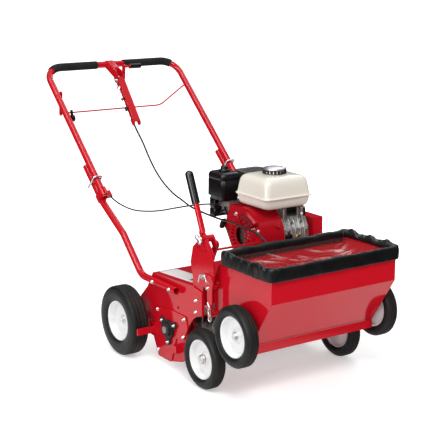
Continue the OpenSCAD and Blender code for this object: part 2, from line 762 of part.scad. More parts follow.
module cylinder_block() {
    core = barrel_half - 12;
    translate([barrel_x0 + 12, barrel_start, -core]) cube([barrel_x1 - barrel_x0 - 24, barrel_l, 2 * core]);
    for (k = [0 : fin_count - 1])
        translate([barrel_x0, barrel_start + k * (barrel_l - fin_t) / (fin_count - 1), -barrel_half])
            cube([barrel_x1 - barrel_x0, fin_t, 2 * barrel_half]);
}

module cylinder_node() color([0.7, 0.7, 0.68]) at_axle() barrel_frame() cylinder_block();

head_l = 34;
module head_cover() color([0.62, 0.62, 0.6]) at_axle() barrel_frame()
    translate([barrel_x0 + 4, barrel_start + barrel_l, barrel_half - 8]) rotate([-90, 0, 0])
        rounded_block([barrel_x1 - barrel_x0 - 8, 2 * barrel_half - 16, head_l], 14);

module fan_outline(r) {
    disc(crank_at, r);
    polygon([crank_at + [-r * 0.62, r * 0.78], crank_at + [20, r], barrel_point(118, r - 44),
        barrel_point(118, -r + 60), crank_at + [r * 0.8, -r * 0.6], crank_at + [0, -r * 0.2]]);
}

module fan_cover() color([0.62, 0.04, 0.09]) at_axle() difference() {
    across(fan_x0, case_x0) fan_outline(fan_cover_r);
    across(fan_x0 + fan_wall, case_x0 + over) fan_outline(fan_cover_r - fan_wall * 2);
    cross_rod(2 * recoil_r - 20, fan_x0 - over, fan_x0 + fan_wall + over, crank_at);
}

louvre_count = 24;
module recoil_cover() color([0.62, 0.04, 0.09]) at_axle() difference() {
    translate([recoil_x0, crank_at[0], crank_at[1]]) rotate([0, 90, 0])
        cylinder(r1 = recoil_r - 8, r2 = recoil_r, h = fan_x0 - recoil_x0);
    translate([recoil_x0 + 4, crank_at[0], crank_at[1]]) rotate([0, 90, 0])
        cylinder(r1 = recoil_r - 13, r2 = recoil_r - 5, h = fan_x0 - recoil_x0);
    cross_rod(2 * recoil_eye_r, recoil_x0 - over, fan_x0, crank_at);
    rope_frame() rotate([90, 0, 0]) cylinder(d = rope_d + 2 * clear, h = rope_in - 30);
    for (k = [0 : louvre_count - 1]) translate([recoil_x0, crank_at[0], crank_at[1]])
        rotate([360 * k / louvre_count, 0, 0]) translate([-over, 38, -2.5]) cube([10, 20, 5]);
}

module tank_half(inset, z0, z1, r) hull() {
    translate([tank_x0 + 5, tank_front + 5, z0]) rounded_block([tank_w - 10, tank_l - 10, 1], r);
    translate([tank_x0 + 5 + inset, tank_front + 5 + inset, z1 - 1])
        rounded_block([tank_w - 10 - 2 * inset, tank_l - 10 - 2 * inset, 1], r);
}

module fuel_tank() color([0.93, 0.9, 0.84]) at_axle() {
    tank_half(8, tank_seam_z - 2, tank_bottom_z, 22);
    tank_half(9, tank_seam_z, tank_top_z - 12, 22);
    hull() {
        translate([tank_x0 + 14, tank_front + 14, tank_top_z - 13])
            rounded_block([tank_w - 28, tank_l - 28, 1], 22);
        translate([tank_x0 + 38, tank_front + 38, tank_top_z - 1])
            rounded_block([tank_w - 76, tank_l - 76, 1], 22);
    }
    translate([tank_x0, tank_front, tank_seam_z - 3]) rounded_block([tank_w, tank_l, 5], 20);
    translate([cap_at[0], cap_at[1], tank_top_z - 2]) cylinder(d = neck_d, h = 12);
}

module fuel_cap() color([0.55, 0.55, 0.56]) at_axle() translate([cap_at[0], cap_at[1], tank_top_z + clear])
    rotate_extrude() polygon([[neck_d / 2 + clear, 0], [fuel_cap_d / 2, 0], [fuel_cap_d / 2, 14],
        [fuel_cap_d / 2 - 6, 21], [12, 24], [0, 24], [0, 14], [neck_d / 2 + clear, 14]]);

carb_x0 = 14;
carb_front = -148;
module carburettor() color([0.6, 0.6, 0.58]) at_axle() {
    translate([carb_x0, carb_front, 500]) cube([barrel_x0 - carb_x0, 46, 42]);
    translate([carb_x0 + 26, carb_front + 23, 472]) cylinder(d = 36, h = 28);
    translate([carb_x0 + 4, carb_front + 4, 542]) cube([34, 38, 7]);
    translate([carb_x0 - 8, carb_front + 46, 524]) cube([10, 10, 12]);
    translate([carb_x0 - 8, carb_front + 40, 524]) cube([8, 12, 12]);
}

air_x0 = -20;
air_front = -156;
air_size = [84, 104, 88];
air_z = 562;
module air_cleaner() color([0.08, 0.08, 0.08]) at_axle() {
    translate([air_x0 + 4, air_front + 4, 549]) rounded_block([air_size[0] - 8, air_size[1] - 8, 13], 14);
    translate([air_x0 + 12, carb_front + 62, 480]) cube([60, 34, 69]);
    translate([air_x0, air_front, air_z]) rounded_block([air_size[0], air_size[1], air_size[2] - 8], 14);
    translate([air_x0 + 5, air_front + 5, air_z + air_size[2] - 8])
        rounded_block([air_size[0] - 10, air_size[1] - 10, 8], 12);
    translate([air_x0 + air_size[0] / 2, air_front + air_size[1] / 2, air_z + air_size[2]]) {
        cylinder(d = 40, h = 8);
        cylinder(d = 26, h = 20);
    }
}

muffler_x0 = 92;
muffler_z = 562;
module muffler() color([0.4, 0.38, 0.36]) at_axle() {
    translate([muffler_x0, -190, muffler_z]) rounded_block([104, 120, 66], 22);
    translate([muffler_x0 + 30, -150, 555.2]) cylinder(d = 26, h = 40);
    for (y = [-165, -95]) translate([muffler_x0 + 40, y, muffler_z + 56]) cylinder(d = 12, h = 23);
    translate([muffler_x0 + 90, -110, muffler_z + 28]) rotate([0, 90, 0]) cylinder(d = 24, h = 30);
}

module muffler_guard() color([0.22, 0.22, 0.23]) at_axle() difference() {
    translate([muffler_x0 - 6, -199, muffler_z + 16]) rounded_block([116, 136, 66], 24);
    translate([muffler_x0 - 4, -197, muffler_z + 15]) rounded_block([112, 132, 64], 23);
    for (k = [0 : 5]) translate([muffler_x0 + 12 + k * 15, -180, muffler_z + 76]) cube([6, 96, 10]);
    translate([muffler_x0 + 60, -126, muffler_z + 6]) cube([60, 32, 50]);
}

module spark_plug() color([0.12, 0.12, 0.12]) at_axle() barrel_frame()
    translate([barrel_x1 - 24, barrel_start + barrel_l + head_l, -16]) rotate([-90, 0, 0]) {
        cylinder(d = 14, h = 10);
        translate([0, 0, 10]) cylinder(d = 18, h = 24);
    }

flywheel_r = 82;
module crankshaft() color([0.5, 0.5, 0.5]) at_axle() {
    cross_rod(pto_d, fan_x0 + 6, belt_x + pulley_w / 2 + 2, crank_at);
    difference() {
        cross_rod(2 * flywheel_r, 10, 34, crank_at);
        for (k = [0 : 7]) cross_rod(24, 9, 35, crank_at + 56 * [cos(45 * k), sin(45 * k)]);
    }
    cross_rod(2 * recoil_eye_r + 20, fan_x0 + 6, fan_x0 + 16, crank_at);
    v_pulley(drive_pulley_d, crank_at);
}

groove = 9;
module v_pulley(d, p) translate([belt_x, p[0], p[1]]) rotate([0, 90, 0]) rotate_extrude()
    polygon([[0, -pulley_w / 2], [d / 2, -pulley_w / 2], [d / 2, -belt_w / 2 - 1],
        [d / 2 - groove, -belt_w / 2 - 0.4], [d / 2 - groove, belt_w / 2 + 0.4],
        [d / 2, belt_w / 2 + 1], [d / 2, pulley_w / 2], [0, pulley_w / 2]]);

module belt_loop(cut) hull() {
    disc(crank_at, drive_pulley_d / 2 - cut);
    disc(reel_at, reel_pulley_d / 2 - cut);
}

module drive_belt() color([0.14, 0.14, 0.14]) at_axle()
    across(belt_x - belt_w / 2, belt_x + belt_w / 2) difference() {
        belt_loop(1);
        belt_loop(groove - clear);
    }

module reel() color([0.45, 0.45, 0.46]) at_axle() {
    cross_rod(reel_shaft_d, -plate_out - bearing_t - 8, plate_out + bearing_t + 8, reel_at);
    v_pulley(reel_pulley_d, reel_at);
    difference() {
        cross_rod(reel_shaft_d + 20, -reel_w / 2, reel_w / 2, reel_at);
        for (k = [0 : blade_count - 1]) cross_rod(reel_d, blade_x(k) - blade_t / 2 - seat_gap / 2,
            blade_x(k) + blade_t / 2 + seat_gap / 2, reel_at);
    }
    cross_rod(reel_shaft_d, -reel_w / 2, reel_w / 2, reel_at);
}

function blade_x(k) = -reel_w / 2 + 6 + k * (reel_w - 12) / (blade_count - 1);
blade_tips = 4;
module reel_blades() color([0.55, 0.55, 0.56]) at_axle() for (k = [0 : blade_count - 1])
    across(blade_x(k) - blade_t / 2, blade_x(k) + blade_t / 2) translate(reel_at)
        rotate(k * 23) difference() {
        union() {
            circle(48);
            for (t = [0 : blade_tips - 1]) rotate(360 * t / blade_tips)
                polygon([[0, -20], [reel_d / 2 - 12, -14], [reel_d / 2 - 1, 8],
                    [reel_d / 2 - 16, 18], [30, 34]]);
        }
        circle(d = reel_shaft_d + 2 * seat_gap);
    }

rope_dir = 35;
rope_d = 5;
rope_out = 105;
rope_in = rope_out + 24;
rope_at = crank_at + 54 * [sin(rope_dir), -cos(rope_dir)] + rope_out * [cos(rope_dir), sin(rope_dir)];
rope_x = (recoil_x0 + fan_x0) / 2 + 1;
module rope_frame() translate([rope_x, rope_at[0], rope_at[1]]) rotate([rope_dir, 0, 0]) children();

module recoil_grip() color([0.08, 0.08, 0.08]) at_axle() rope_frame() {
    translate([-7, 0, -19]) cube([14, 13, 38]);
    translate([-5, 12, -13]) cube([10, 5, 26]);
    translate([0, -rope_in, 0]) rotate([-90, 0, 0]) cylinder(d = rope_d, h = rope_in + 1);
}

throttle_at = [carb_front + 20, 520];
module throttle_lever() color([0.1, 0.1, 0.1]) at_axle() {
    cross_rod(10, carb_x0 - 7, carb_x0 - clear, throttle_at);
    across(carb_x0 - 7, carb_x0 - 3) strap(throttle_at, throttle_at + [-16, -18], 5);
}

choke_at = [carb_front + 36, 508];
module choke_lever() color([0.1, 0.1, 0.1]) at_axle() {
    cross_rod(8, carb_x0 - 6, carb_x0 - clear, choke_at);
    across(carb_x0 - 6, carb_x0 - 3) strap(choke_at, choke_at + [16, -11], 4);
}

stop_x = 60;
stop_turn = -26;
module stop_switch() color([0.75, 0.08, 0.08]) at_axle()
    translate([stop_x, crank_at[0], crank_at[1]]) rotate([stop_turn, 0, 0])
        translate([0, -fan_cover_r - clear, 0]) rotate([90, 0, 0]) {
            cylinder(d = 18, h = 8);
            translate([-2.5, -11, 7]) cube([5, 22, 9]);
        }

// Hopper

function hopper_section(t, top) = [[hopper_front + t, top], [hopper_front + t, hopper_bend_z - t * 0.3],
    [base_front + t * 1.2, hopper_foot_z], [base_rear - t * 1.2, hopper_foot_z],
    [hopper_rear - t, hopper_bend_z - t * 0.3], [hopper_rear - t, top]];

module hopper_shell() color(red) at_axle() difference() {
    across(-hopper_half, hopper_half) polygon(hopper_section(0, hopper_rim_z));
    across(-hopper_half + hopper_wall, hopper_half - hopper_wall)
        polygon(concat(hopper_section(hopper_wall, hopper_rim_z + over)));
    translate([-hopper_half + hopper_wall, base_front + 1.2 * hopper_wall, hopper_foot_z - over])
        cube([hopper_w - 2 * hopper_wall, base_rear - base_front - 2.4 * hopper_wall, 2 * over]);
    cross_rod(bush_d + 2 * seat_gap, -hopper_w, hopper_w, hopper_axle_at);
}

module hopper_base() color(red) at_axle() difference() {
    translate([-hopper_half, base_front, base_z])
        cube([hopper_w, base_rear - base_front, hopper_foot_z - base_z]);
    translate([-hopper_half + base_t, base_front + base_t, base_z + base_t])
        cube([hopper_w - 2 * base_t, base_rear - base_front - 2 * base_t, hopper_foot_z]);
    seed_holes(base_z - over, base_t + 2 * over);
    translate([gate_tab_x - gate_tab_w / 2 - gate_travel - 1, base_rear - base_t - over, gate_z - clear])
        cube([gate_tab_w + gate_travel + 2, base_t + 2 * over, gate_t + 2 * clear]);
}

module seed_holes(z, h) for (k = [0 : seed_slots - 1])
    translate([seed_slot_x(k) - seed_slot[0] / 2, (base_front + base_rear) / 2 - seed_slot[1] / 2, z])
        cube([seed_slot[0], seed_slot[1], h]);

module seed_gate() color("silver") at_axle() difference() {
    union() {
        translate([-hopper_half + base_t + gate_travel + 2, base_front + base_t + 2, gate_z])
            cube([hopper_w - 2 * base_t - gate_travel - 4, base_rear - base_front - 2 * base_t - 4, gate_t]);
        translate([gate_tab_x - gate_tab_w / 2, base_rear - 20, gate_z]) cube([gate_tab_w, 34, gate_t]);
    }
    translate([gate_travel, 0, 0]) seed_holes(gate_z - over, gate_t + 2 * over);
}

ear_t = 5;
function rear_wall_y(z) =
    hopper_rear + (base_rear - hopper_rear) * (hopper_bend_z - z) / (hopper_bend_z - hopper_foot_z);
module hopper_arms() color(red) at_axle() both_sides() {
    difference() {
        across(hopper_arm_x, hopper_arm_x + hopper_arm_t) {
            strap([-447, 372], [-470, 372], 24);
            strap([-475, 372], arm_foot_at, 14);
        }
        cross_rod(hitch_pin_d + 2 * seat_gap, 0, frame_w, hitch_at);
    }
    for (p = [arm_bolt_at, arm_foot_at]) cross_rod(18, hopper_half, hopper_arm_x, p);
    across(hopper_half - ear_t, hopper_half) polygon([[hopper_rear, 430], [hopper_rear, hopper_bend_z],
        [rear_wall_y(288), 288], [hopper_rear + 12, 246], [hopper_rear + 44, 246], [hopper_rear + 54, 366],
        [hopper_rear + 24, 430]]);
}

module hopper_bush() translate([hopper_half - hopper_wall, hopper_axle_at[0], hopper_axle_at[1]])
    rotate([0, 90, 0]) difference() {
        union() {
            cylinder(d = bush_d, h = hopper_wall + bush_out);
            translate([0, 0, hopper_wall]) cylinder(d = bush_flange_d, h = 4);
        }
        translate([0, 0, -over]) cylinder(d = agitator_d + 2 * run_gap, h = 20);
    }

module bearings() color([0.1, 0.1, 0.1]) at_axle() both_sides() {
    reel_bearing();
    hopper_bush();
}

finger_r = 27;
module agitator() color("silver") at_axle() {
    hub_out = front_track / 2 + rim_web_out + 6;
    cross_rod(agitator_d, -hub_out, hub_out, hopper_axle_at);
    both_sides() {
        cross_rod(agitator_d + 8, hub_out, hub_out + 3, hopper_axle_at);
        hex_head(agitator_d + 4, 6, hub_out + 3, hopper_axle_at);
    }
    for (k = [0 : seed_slots - 1]) translate([seed_slot_x(k), hopper_axle_at[0], hopper_axle_at[1]])
        rotate([k * 60, 0, 0]) translate([0, 0, -finger_r]) cylinder(d = 6, h = 2 * finger_r);
}

band_drop = 32;
band_in = 8;
module hopper_band() color([0.1, 0.1, 0.1]) at_axle() difference() {
    translate([-hopper_half - band_t, hopper_front - band_t, hopper_rim_z - band_drop])
        cube([hopper_w + 2 * band_t, hopper_l + 2 * band_t, band_drop + 7]);
    translate([-hopper_half - clear, hopper_front - clear, hopper_rim_z - band_drop - over])
        cube([hopper_w + 2 * clear, hopper_l + 2 * clear, band_drop + over + clear]);
    translate([-hopper_half + band_in, hopper_front + band_in, hopper_rim_z - band_drop])
        cube([hopper_w - 2 * band_in, hopper_l - 2 * band_in, band_drop + 7 + over]);
}

film_t = 2;
film_sag = 18;
module hopper_film() color([0.85, 0.5, 0.5, 0.6]) at_axle() {
    x = hopper_half - band_in - clear;
    front = hopper_front + band_in + clear;
    rear = hopper_rear - band_in - clear;
    top = hopper_rim_z + 5;
    across(-x, x) polygon([[front, top], [front + 50, top - film_sag],
        [rear - 50, top - film_sag], [rear, top], [rear, top - film_t],
        [rear - 50, top - film_sag - film_t], [front + 50, top - film_sag - film_t],
        [front, top - film_t]]);
}

clip_d = 4;
module hitch_pins() color("silver") at_axle() both_sides() {
    cross_rod(hitch_pin_d, bracket_in - 6, hopper_arm_x + hopper_arm_t + 10, hitch_at);
    cross_rod(hitch_pin_d + 8, hopper_arm_x + hopper_arm_t, hopper_arm_x + hopper_arm_t + 4, hitch_at);
    translate([hopper_arm_x + hopper_arm_t + 12, hitch_at[0], hitch_at[1]]) rotate([90, 0, 90])
        bent_bar([[14, -20], [4, 8], [-22, 14], [-34, -10], [-52, -6]], [8, 8, 8], clip_d / 2);
    round_head(bolt_d, 6, hopper_arm_x + hopper_arm_t, arm_bolt_at);
    translate([hopper_arm_x + hopper_arm_t + clip_d / 2 + clear, arm_foot_at[0], arm_foot_at[1]])
        rotate([90, 0, 90]) bent_bar([[8, 40], [-4, 26], [5, 12], [-4, -2], [3, -16],
            [-6, -24], [-14, -12], [-6, 36]],
            [4, 4, 4, 4, 5, 5], clip_d / 2);
}

// Depth lever

module lever_crank() {
    across(crank_x, crank_x + crank_t) strap(lever_at, link_top, 12);
    cross_rod(24, crank_x, lever_plate_x + lever_plate_t, lever_at);
    cross_rod(lever_pin_d, lever_plate_x, plate_in + lever_pin_out, lever_at);
    cross_rod(link_pin_d, link_x - 1, crank_x + crank_t / 2, link_top);
}

lever_pin_out = 14;
knob_gap = 6;
knob_t = 16;
module lever_knob() color("silver") at_axle() mirror([1, 0, 0]) difference() {
    across(plate_in + knob_gap, plate_in + knob_gap + knob_t)
        strap(lever_at + [-8, -5], lever_at + [8, 5], 12);
    cross_rod(lever_pin_d + 2 * run_gap, plate_in, plate_in + lever_pin_out + 1, lever_at);
}

lever_foot = lever_point(68, 40);
module depth_lever() color(red) at_axle() {
    mirror([1, 0, 0]) {
        lever_crank();
        across(lever_plate_x, lever_plate_x + lever_plate_t) {
            strap(lever_foot, lever_at, 13);
            strap(lever_at, lever_kink, 14);
        }
        lever_rod(lever_kink, lever_tip, lever_d);
    }
}

module lever_rod(a, b, d) {
    v = b - a;
    translate([lever_plate_x + lever_plate_t / 2 - 3, a[0], a[1]]) rotate([atan2(v[1], v[0]) - 90, 0, 0])
        cylinder(d = d, h = norm(v));
}

module depth_lever_grip() color([0.08, 0.08, 0.08]) at_axle() mirror([1, 0, 0]) {
    v = (lever_tip - lever_kink) / norm(lever_tip - lever_kink);
    start = lever_tip - lever_grip_l * v;
    r = lever_grip_d / 2;
    bore = lever_d / 2 + seat_gap;
    l = lever_grip_l;
    translate([lever_plate_x + lever_plate_t / 2 - 3, start[0], start[1]])
        rotate([atan2(v[1], v[0]) - 90, 0, 0]) rotate_extrude()
            polygon([[bore, 0], [r - 1, 0], [r, 1], [r, l],
            [r * 0.9, l + r * 0.45], [r * 0.6, l + r * 0.8], [0, l + r], [0, l + 0.2], [bore, l + 0.2]]);
}

link_slot_r = ear_pin_d / 2 + 0.6;
link_slot_up = 7.5;
module depth_link() color(red) at_axle() mirror([1, 0, 0]) across(link_x, link_x + link_t) difference() {
    strap(link_top, ear_at, 13);
    disc(link_top, link_pin_d / 2 + run_gap);
    strap(ear_at - [0, 1], ear_at + [0, link_slot_up], link_slot_r);
}

module seed_cable() color([0.15, 0.15, 0.16]) at_axle() cord(seed_route, seed_cable_d);
module throttle_cable() color([0.15, 0.15, 0.16]) at_axle() cord(throttle_route, throttle_cable_d);

deck();
side_plates();
hopper_brackets();
bearings();
rear_axle();
frame_bolts();
belt_guard();
lower_handle_tubes();
upper_handle();
handle_grips();
seed_lever_bracket();
crankcase();
cylinder_node();  // cylinder
head_cover();
fan_cover();
recoil_cover();
fuel_tank();
carburettor();
air_cleaner();
muffler();
muffler_guard();
spark_plug();
drive_belt();
hopper_shell();
hopper_base();
hopper_arms();
hopper_band();
hopper_film();
hitch_pins();
seed_cable();
throttle_cable();
rear_tyre_right();
rear_rim_right();
rear_tyre_left();
rear_rim_left();
front_axle();
front_tyre_right();
front_rim_right();
front_tyre_left();
front_rim_left();
hopper_tyres();
hopper_rims();
agitator();
depth_lever();
depth_lever_grip();
depth_link();
lever_knob();
seed_lever();
pull_rod();
seed_gate();
bail();
hand_throttle();
reel();
reel_blades();
crankshaft();
recoil_grip();
fuel_cap();
throttle_lever();
choke_lever();
stop_switch();
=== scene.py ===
# %% [markdown]
# # A walk-behind overseeder
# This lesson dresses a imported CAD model: the frame, engine, reel and handle come from the CAD
# solids, and Blender adds finishes, tyres, rims, soft goods, cables and the fine detail. Everything
# is in metres, with the ground at Z = 0 and the seed hopper to the front, at -Y.

# %% Load the CAD frame
import bpy
import bmesh
import json
import random
from math import atan2, cos, exp, hypot, pi, radians, sin, sqrt, tau
from mathutils import Matrix, Vector, noise


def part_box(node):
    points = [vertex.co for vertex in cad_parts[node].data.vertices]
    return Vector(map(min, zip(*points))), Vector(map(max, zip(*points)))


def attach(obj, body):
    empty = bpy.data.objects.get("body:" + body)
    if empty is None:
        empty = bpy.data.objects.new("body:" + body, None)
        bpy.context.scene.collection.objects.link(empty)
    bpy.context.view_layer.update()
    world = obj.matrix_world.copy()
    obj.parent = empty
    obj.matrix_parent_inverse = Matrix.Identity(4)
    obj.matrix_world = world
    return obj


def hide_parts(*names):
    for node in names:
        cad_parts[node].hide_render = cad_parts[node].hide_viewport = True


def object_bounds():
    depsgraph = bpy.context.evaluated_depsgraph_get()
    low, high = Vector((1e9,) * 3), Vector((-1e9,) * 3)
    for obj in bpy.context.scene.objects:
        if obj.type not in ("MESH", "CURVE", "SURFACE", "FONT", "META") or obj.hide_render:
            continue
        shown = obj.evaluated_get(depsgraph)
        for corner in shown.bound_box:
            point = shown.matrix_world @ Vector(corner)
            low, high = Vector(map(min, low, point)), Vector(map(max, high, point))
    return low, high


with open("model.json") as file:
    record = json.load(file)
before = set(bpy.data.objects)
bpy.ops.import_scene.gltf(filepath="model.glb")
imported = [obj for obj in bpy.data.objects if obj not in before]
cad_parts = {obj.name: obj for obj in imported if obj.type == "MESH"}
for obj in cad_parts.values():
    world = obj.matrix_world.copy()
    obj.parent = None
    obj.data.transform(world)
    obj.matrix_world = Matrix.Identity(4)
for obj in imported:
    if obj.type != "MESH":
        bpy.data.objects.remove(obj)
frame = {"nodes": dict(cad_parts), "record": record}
scene = bpy.context.scene
cad_low, cad_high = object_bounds()


def to_mesh(form, name):
    """Turn a bmesh into a mesh, and free it."""
    mesh = bpy.data.meshes.new(name)
    form.to_mesh(mesh)
    form.free()
    return mesh


def add_object(name, data):
    """A new object at the origin, linked to the scene."""
    made = bpy.data.objects.new(name, data)
    scene.collection.objects.link(made)
    return made


print("CAD box", [round(v, 3) for v in (*cad_low, *cad_high)])

# %% [markdown]
# ## Camera
# The view was found by fitting a pinhole camera to the wheels, hopper and handle in the photograph:
# a long lens, from the front right of the machine and a little above it. A long lens keeps the
# perspective calm.

# %% Camera at the photograph's angle
LENS, SENSOR = 95.76, 36  # millimetres
AROUND, ABOVE = 33.89, 13.23  # degrees round to the machine's right, and up
camera_data = bpy.data.cameras.new("camera")
camera_data.lens = LENS
camera_data.sensor_width = SENSOR
camera = add_object("camera", camera_data)
camera.location = (-2.28692, -3.46045, 1.44308)
camera.rotation_euler = (radians(90 - ABOVE), 0, radians(-AROUND))
scene.camera = camera
bpy.context.scene.view_settings.view_transform = "Standard"
print("camera", camera.location[:])

# %% [markdown]
# ## Shader sums
# Materials here are written as short sums. One small class wraps a node socket, so that `1 - mask`
# or `grain * 0.2` adds the Math nodes by itself, and its method `node` makes any other node. A
# finish is kept by the name it is given, so that later cells can ask for it.


# %% A socket that can be added and multiplied
class Tone:
    def __init__(self, tree, socket=None):
        self.tree = tree
        self.socket = socket

    def node(self, kind, settings=None, inputs=None, out=0):
        """Any node, from its type, its settings and the values or links of its sockets."""
        made = self.tree.nodes.new(kind)
        for name, value in (settings or {}).items():
            setattr(made, name, value)
        for name, value in (inputs or {}).items():
            if isinstance(value, Tone):
                self.tree.links.new(value.socket, made.inputs[name])
            else:
                made.inputs[name].default_value = value
        return Tone(self.tree, made.outputs[out])

    def maths(self, operation, a, b):
        return self.node("ShaderNodeMath", {"operation": operation}, {0: a, 1: b})

    def __add__(self, other):
        return self.maths("ADD", self, other)

    def __sub__(self, other):
        return self.maths("SUBTRACT", self, other)

    def __rsub__(self, other):
        return self.maths("SUBTRACT", other, self)

    def __mul__(self, other):
        return self.maths("MULTIPLY", self, other)

    __radd__ = __add__
    __rmul__ = __mul__

    def grain(self, where, scale, detail=2.0, rough=0.5):
        return self.node("ShaderNodeTexNoise", None,
                         {"Vector": where, "Scale": scale, "Detail": detail, "Roughness": rough})

    def between(self, low, high):
        """0 below low, 1 above high."""
        return self.node("ShaderNodeMapRange", None,
                         {"Value": self, "From Min": low, "From Max": high})

    def blend(self, a, b):
        """Colour a where this is 0 and colour b where it is 1."""
        return self.node("ShaderNodeMix", {"data_type": "RGBA"},
                         {0: self, 6: (*a, 1), 7: (*b, 1)}, 2)

    def bump(self, strength, distance):
        return self.node("ShaderNodeBump", None,
                         {"Height": self, "Strength": strength, "Distance": distance})


finishes = {}


def finish(name, draw, **fixed):
    """A material: draw(tone, where) gives the inputs that vary, and fixed those that don't."""
    material = bpy.data.materials.new(name)
    material.use_nodes = True
    tree = material.node_tree
    shader = next(n for n in tree.nodes if n.type == "BSDF_PRINCIPLED")
    for key, value in fixed.items():
        shader.inputs[key.replace("_", " ")].default_value = value
    tone = Tone(tree)
    where = tone.node("ShaderNodeTexCoord", out="Object")
    for key, value in draw(tone, where).items():
        tree.links.new(value.socket, shader.inputs[key])
    finishes[name] = material


print("shader class ready")

# %% [markdown]
# ## Painted metal
# The sheet metal has a thick, glossy red powder coat. Powder coat is never quite flat: a fine
# orange peel bends the reflections, and dust takes a little gloss off. The roughness is low, so
# that the sloping panels mirror the pale floor and the upright ones the darker room.


# %% Red, deep red, white and cream paint
def powder_coat(colour, shade):
    def draw(tone, where):
        patches = tone.grain(where, 9, 4)
        peel = tone.grain(where, 420, 1)
        dust = tone.grain(where, 60, 5, 0.6).between(0.55, 0.8)
        return {"Base Color": patches.blend(colour, shade),
                "Roughness": 0.05 + dust * 0.1 + patches * 0.05,
                "Normal": peel.bump(0.04, 0.0005)}
    return draw


# Name, colour, shade and sheen.
PAINTS = [("red_paint", (0.62, 0.006, 0.017), (0.57, 0.005, 0.015), 0.3),
          ("cover_red", (0.5, 0.006, 0.016), (0.44, 0.005, 0.013), 0.25),
          ("white_paint", (0.91, 0.91, 0.91), (0.88, 0.88, 0.88), 0.5),
          ("tank_cream", (0.88, 0.83, 0.74), (0.85, 0.8, 0.7), 0.5)]
for name, colour, shade, sheen in PAINTS:
    finish(name, powder_coat(colour, shade), Specular_IOR_Level=sheen)
print("paints", list(finishes))

# %% [markdown]
# ## Bare and plated metal
# Zinc plating on the bolts, pins and rods is silvery with a cloudy bloom. The engine is cast
# aluminium with the grain of its mould, and the reel is bare steel that has begun to darken.


# %% Zinc, cast aluminium, steel and dark metal
def plated(bright, dull, rough):
    def draw(tone, where):
        bloom = tone.grain(where, 55, 5, 0.6)
        fine = tone.grain(where, 700, 2)
        return {"Base Color": bloom.between(0.35, 0.7).blend(bright, dull),
                "Roughness": rough + bloom * 0.25,
                "Normal": fine.bump(0.06, 0.0005)}
    return draw


def cast(light, dark, rough, grain_depth):
    def draw(tone, where):
        sand = tone.grain(where, 900, 3, 0.6)
        stain = tone.grain(where, 24, 4, 0.6).between(0.45, 0.75)
        return {"Base Color": stain.blend(light, dark),
                "Roughness": rough + sand * 0.2,
                "Normal": sand.bump(grain_depth, 0.001)}
    return draw


finish("zinc", plated((0.74, 0.74, 0.72), (0.56, 0.56, 0.55), 0.2), Metallic=1.0)
finish("steel", plated((0.46, 0.46, 0.47), (0.26, 0.24, 0.22), 0.34), Metallic=1.0)
finish("cap_metal", plated((0.62, 0.62, 0.63), (0.45, 0.45, 0.46), 0.24), Metallic=1.0)
finish("brass", plated((0.62, 0.46, 0.2), (0.42, 0.32, 0.15), 0.26), Metallic=1.0)
finish("engine_metal", cast((0.56, 0.56, 0.54), (0.33, 0.33, 0.32), 0.34, 0.35), Metallic=0.85)
finish("cast_black", cast((0.012, 0.012, 0.013), (0.03, 0.028, 0.027), 0.42, 0.5),
       Specular_IOR_Level=0.35)
finish("muffler_metal", cast((0.05, 0.05, 0.05), (0.085, 0.08, 0.075), 0.45, 0.3), Metallic=0.4)
print("finishes with the metals", len(finishes))

# %% [markdown]
# ## Rubber, plastic and foam
# Tyres are dull black with a brownish bloom on the tread, moulded plastic has a fine leather grain,
# foam sleeves have open cells, and the dipped vinyl of the lever grip is smooth and shiny. They
# differ only in colour, gloss and the size of the grain, so one recipe serves for all.


# %% Tyres, plastic, foam, vinyl and cable jacket
def moulded(dark, light, rough, scale, depth):
    def draw(tone, where):
        cells = tone.grain(where, scale, 3, 0.55)
        haze = tone.grain(where, 14, 4, 0.6).between(0.4, 0.8)
        return {"Base Color": haze.blend(dark, light),
                "Roughness": rough + cells * 0.16,
                "Normal": cells.bump(depth, 0.001)}
    return draw


# Name, dark and light colour, roughness, scale and depth of the grain, and sheen.
MOULDED = [
    ("tyre_side", (0.008, 0.0085, 0.0095), (0.014, 0.014, 0.0145), 0.36, 600, 0.1, 0.22),
    ("tyre_tread", (0.01, 0.0096, 0.0092), (0.03, 0.026, 0.022), 0.55, 500, 0.3, 0.18),
    ("black_plastic", (0.004, 0.004, 0.0045), (0.009, 0.009, 0.0095), 0.24, 900, 0.1, 0.3),
    ("foam", (0.012, 0.012, 0.0125), (0.02, 0.02, 0.0205), 0.72, 1100, 0.5, 0.2),
    ("vinyl", (0.005, 0.005, 0.0055), (0.009, 0.009, 0.0095), 0.12, 200, 0.05, 0.5),
    ("belt_rubber", (0.024, 0.024, 0.024), (0.04, 0.04, 0.04), 0.6, 700, 0.3, 0.5),
    ("cord_black", (0.008, 0.008, 0.009), (0.014, 0.014, 0.015), 0.34, 800, 0.1, 0.3),
    ("switch_red", (0.5, 0.012, 0.012), (0.42, 0.01, 0.01), 0.25, 800, 0.05, 0.5),
    ("pale_film", (0.88, 0.88, 0.87), (0.82, 0.82, 0.8), 0.32, 900, 0.05, 0.5),
    # The last finish is painted shadow: the dark line under the overlapped edge of the hopper's
    # seam.
    ("seam_dark", (0.05, 0.004, 0.005), (0.06, 0.005, 0.006), 0.7, 600, 0.1, 0.1)]
for name, *recipe, sheen in MOULDED:
    finish(name, moulded(*recipe), Specular_IOR_Level=sheen)
print("finishes with the moulded ones", len(finishes))

# %% [markdown]
# ## Finishes on the CAD nodes
# Each CAD node keeps its shape and gets the finish of its record slot. Doing it from the record
# keeps the two lists from drifting apart. The band and the film get theirs later.

# %% Assign finishes by the record's slots
finishes["tyre"] = finishes["tyre_side"]
dressed = [part for part in frame["record"]["subparts"] if part["material_slot"] in finishes]
for part in dressed:
    mesh = frame["nodes"][part["node"]].data
    mesh.materials.clear()
    mesh.materials.append(finishes[part["material_slot"]])

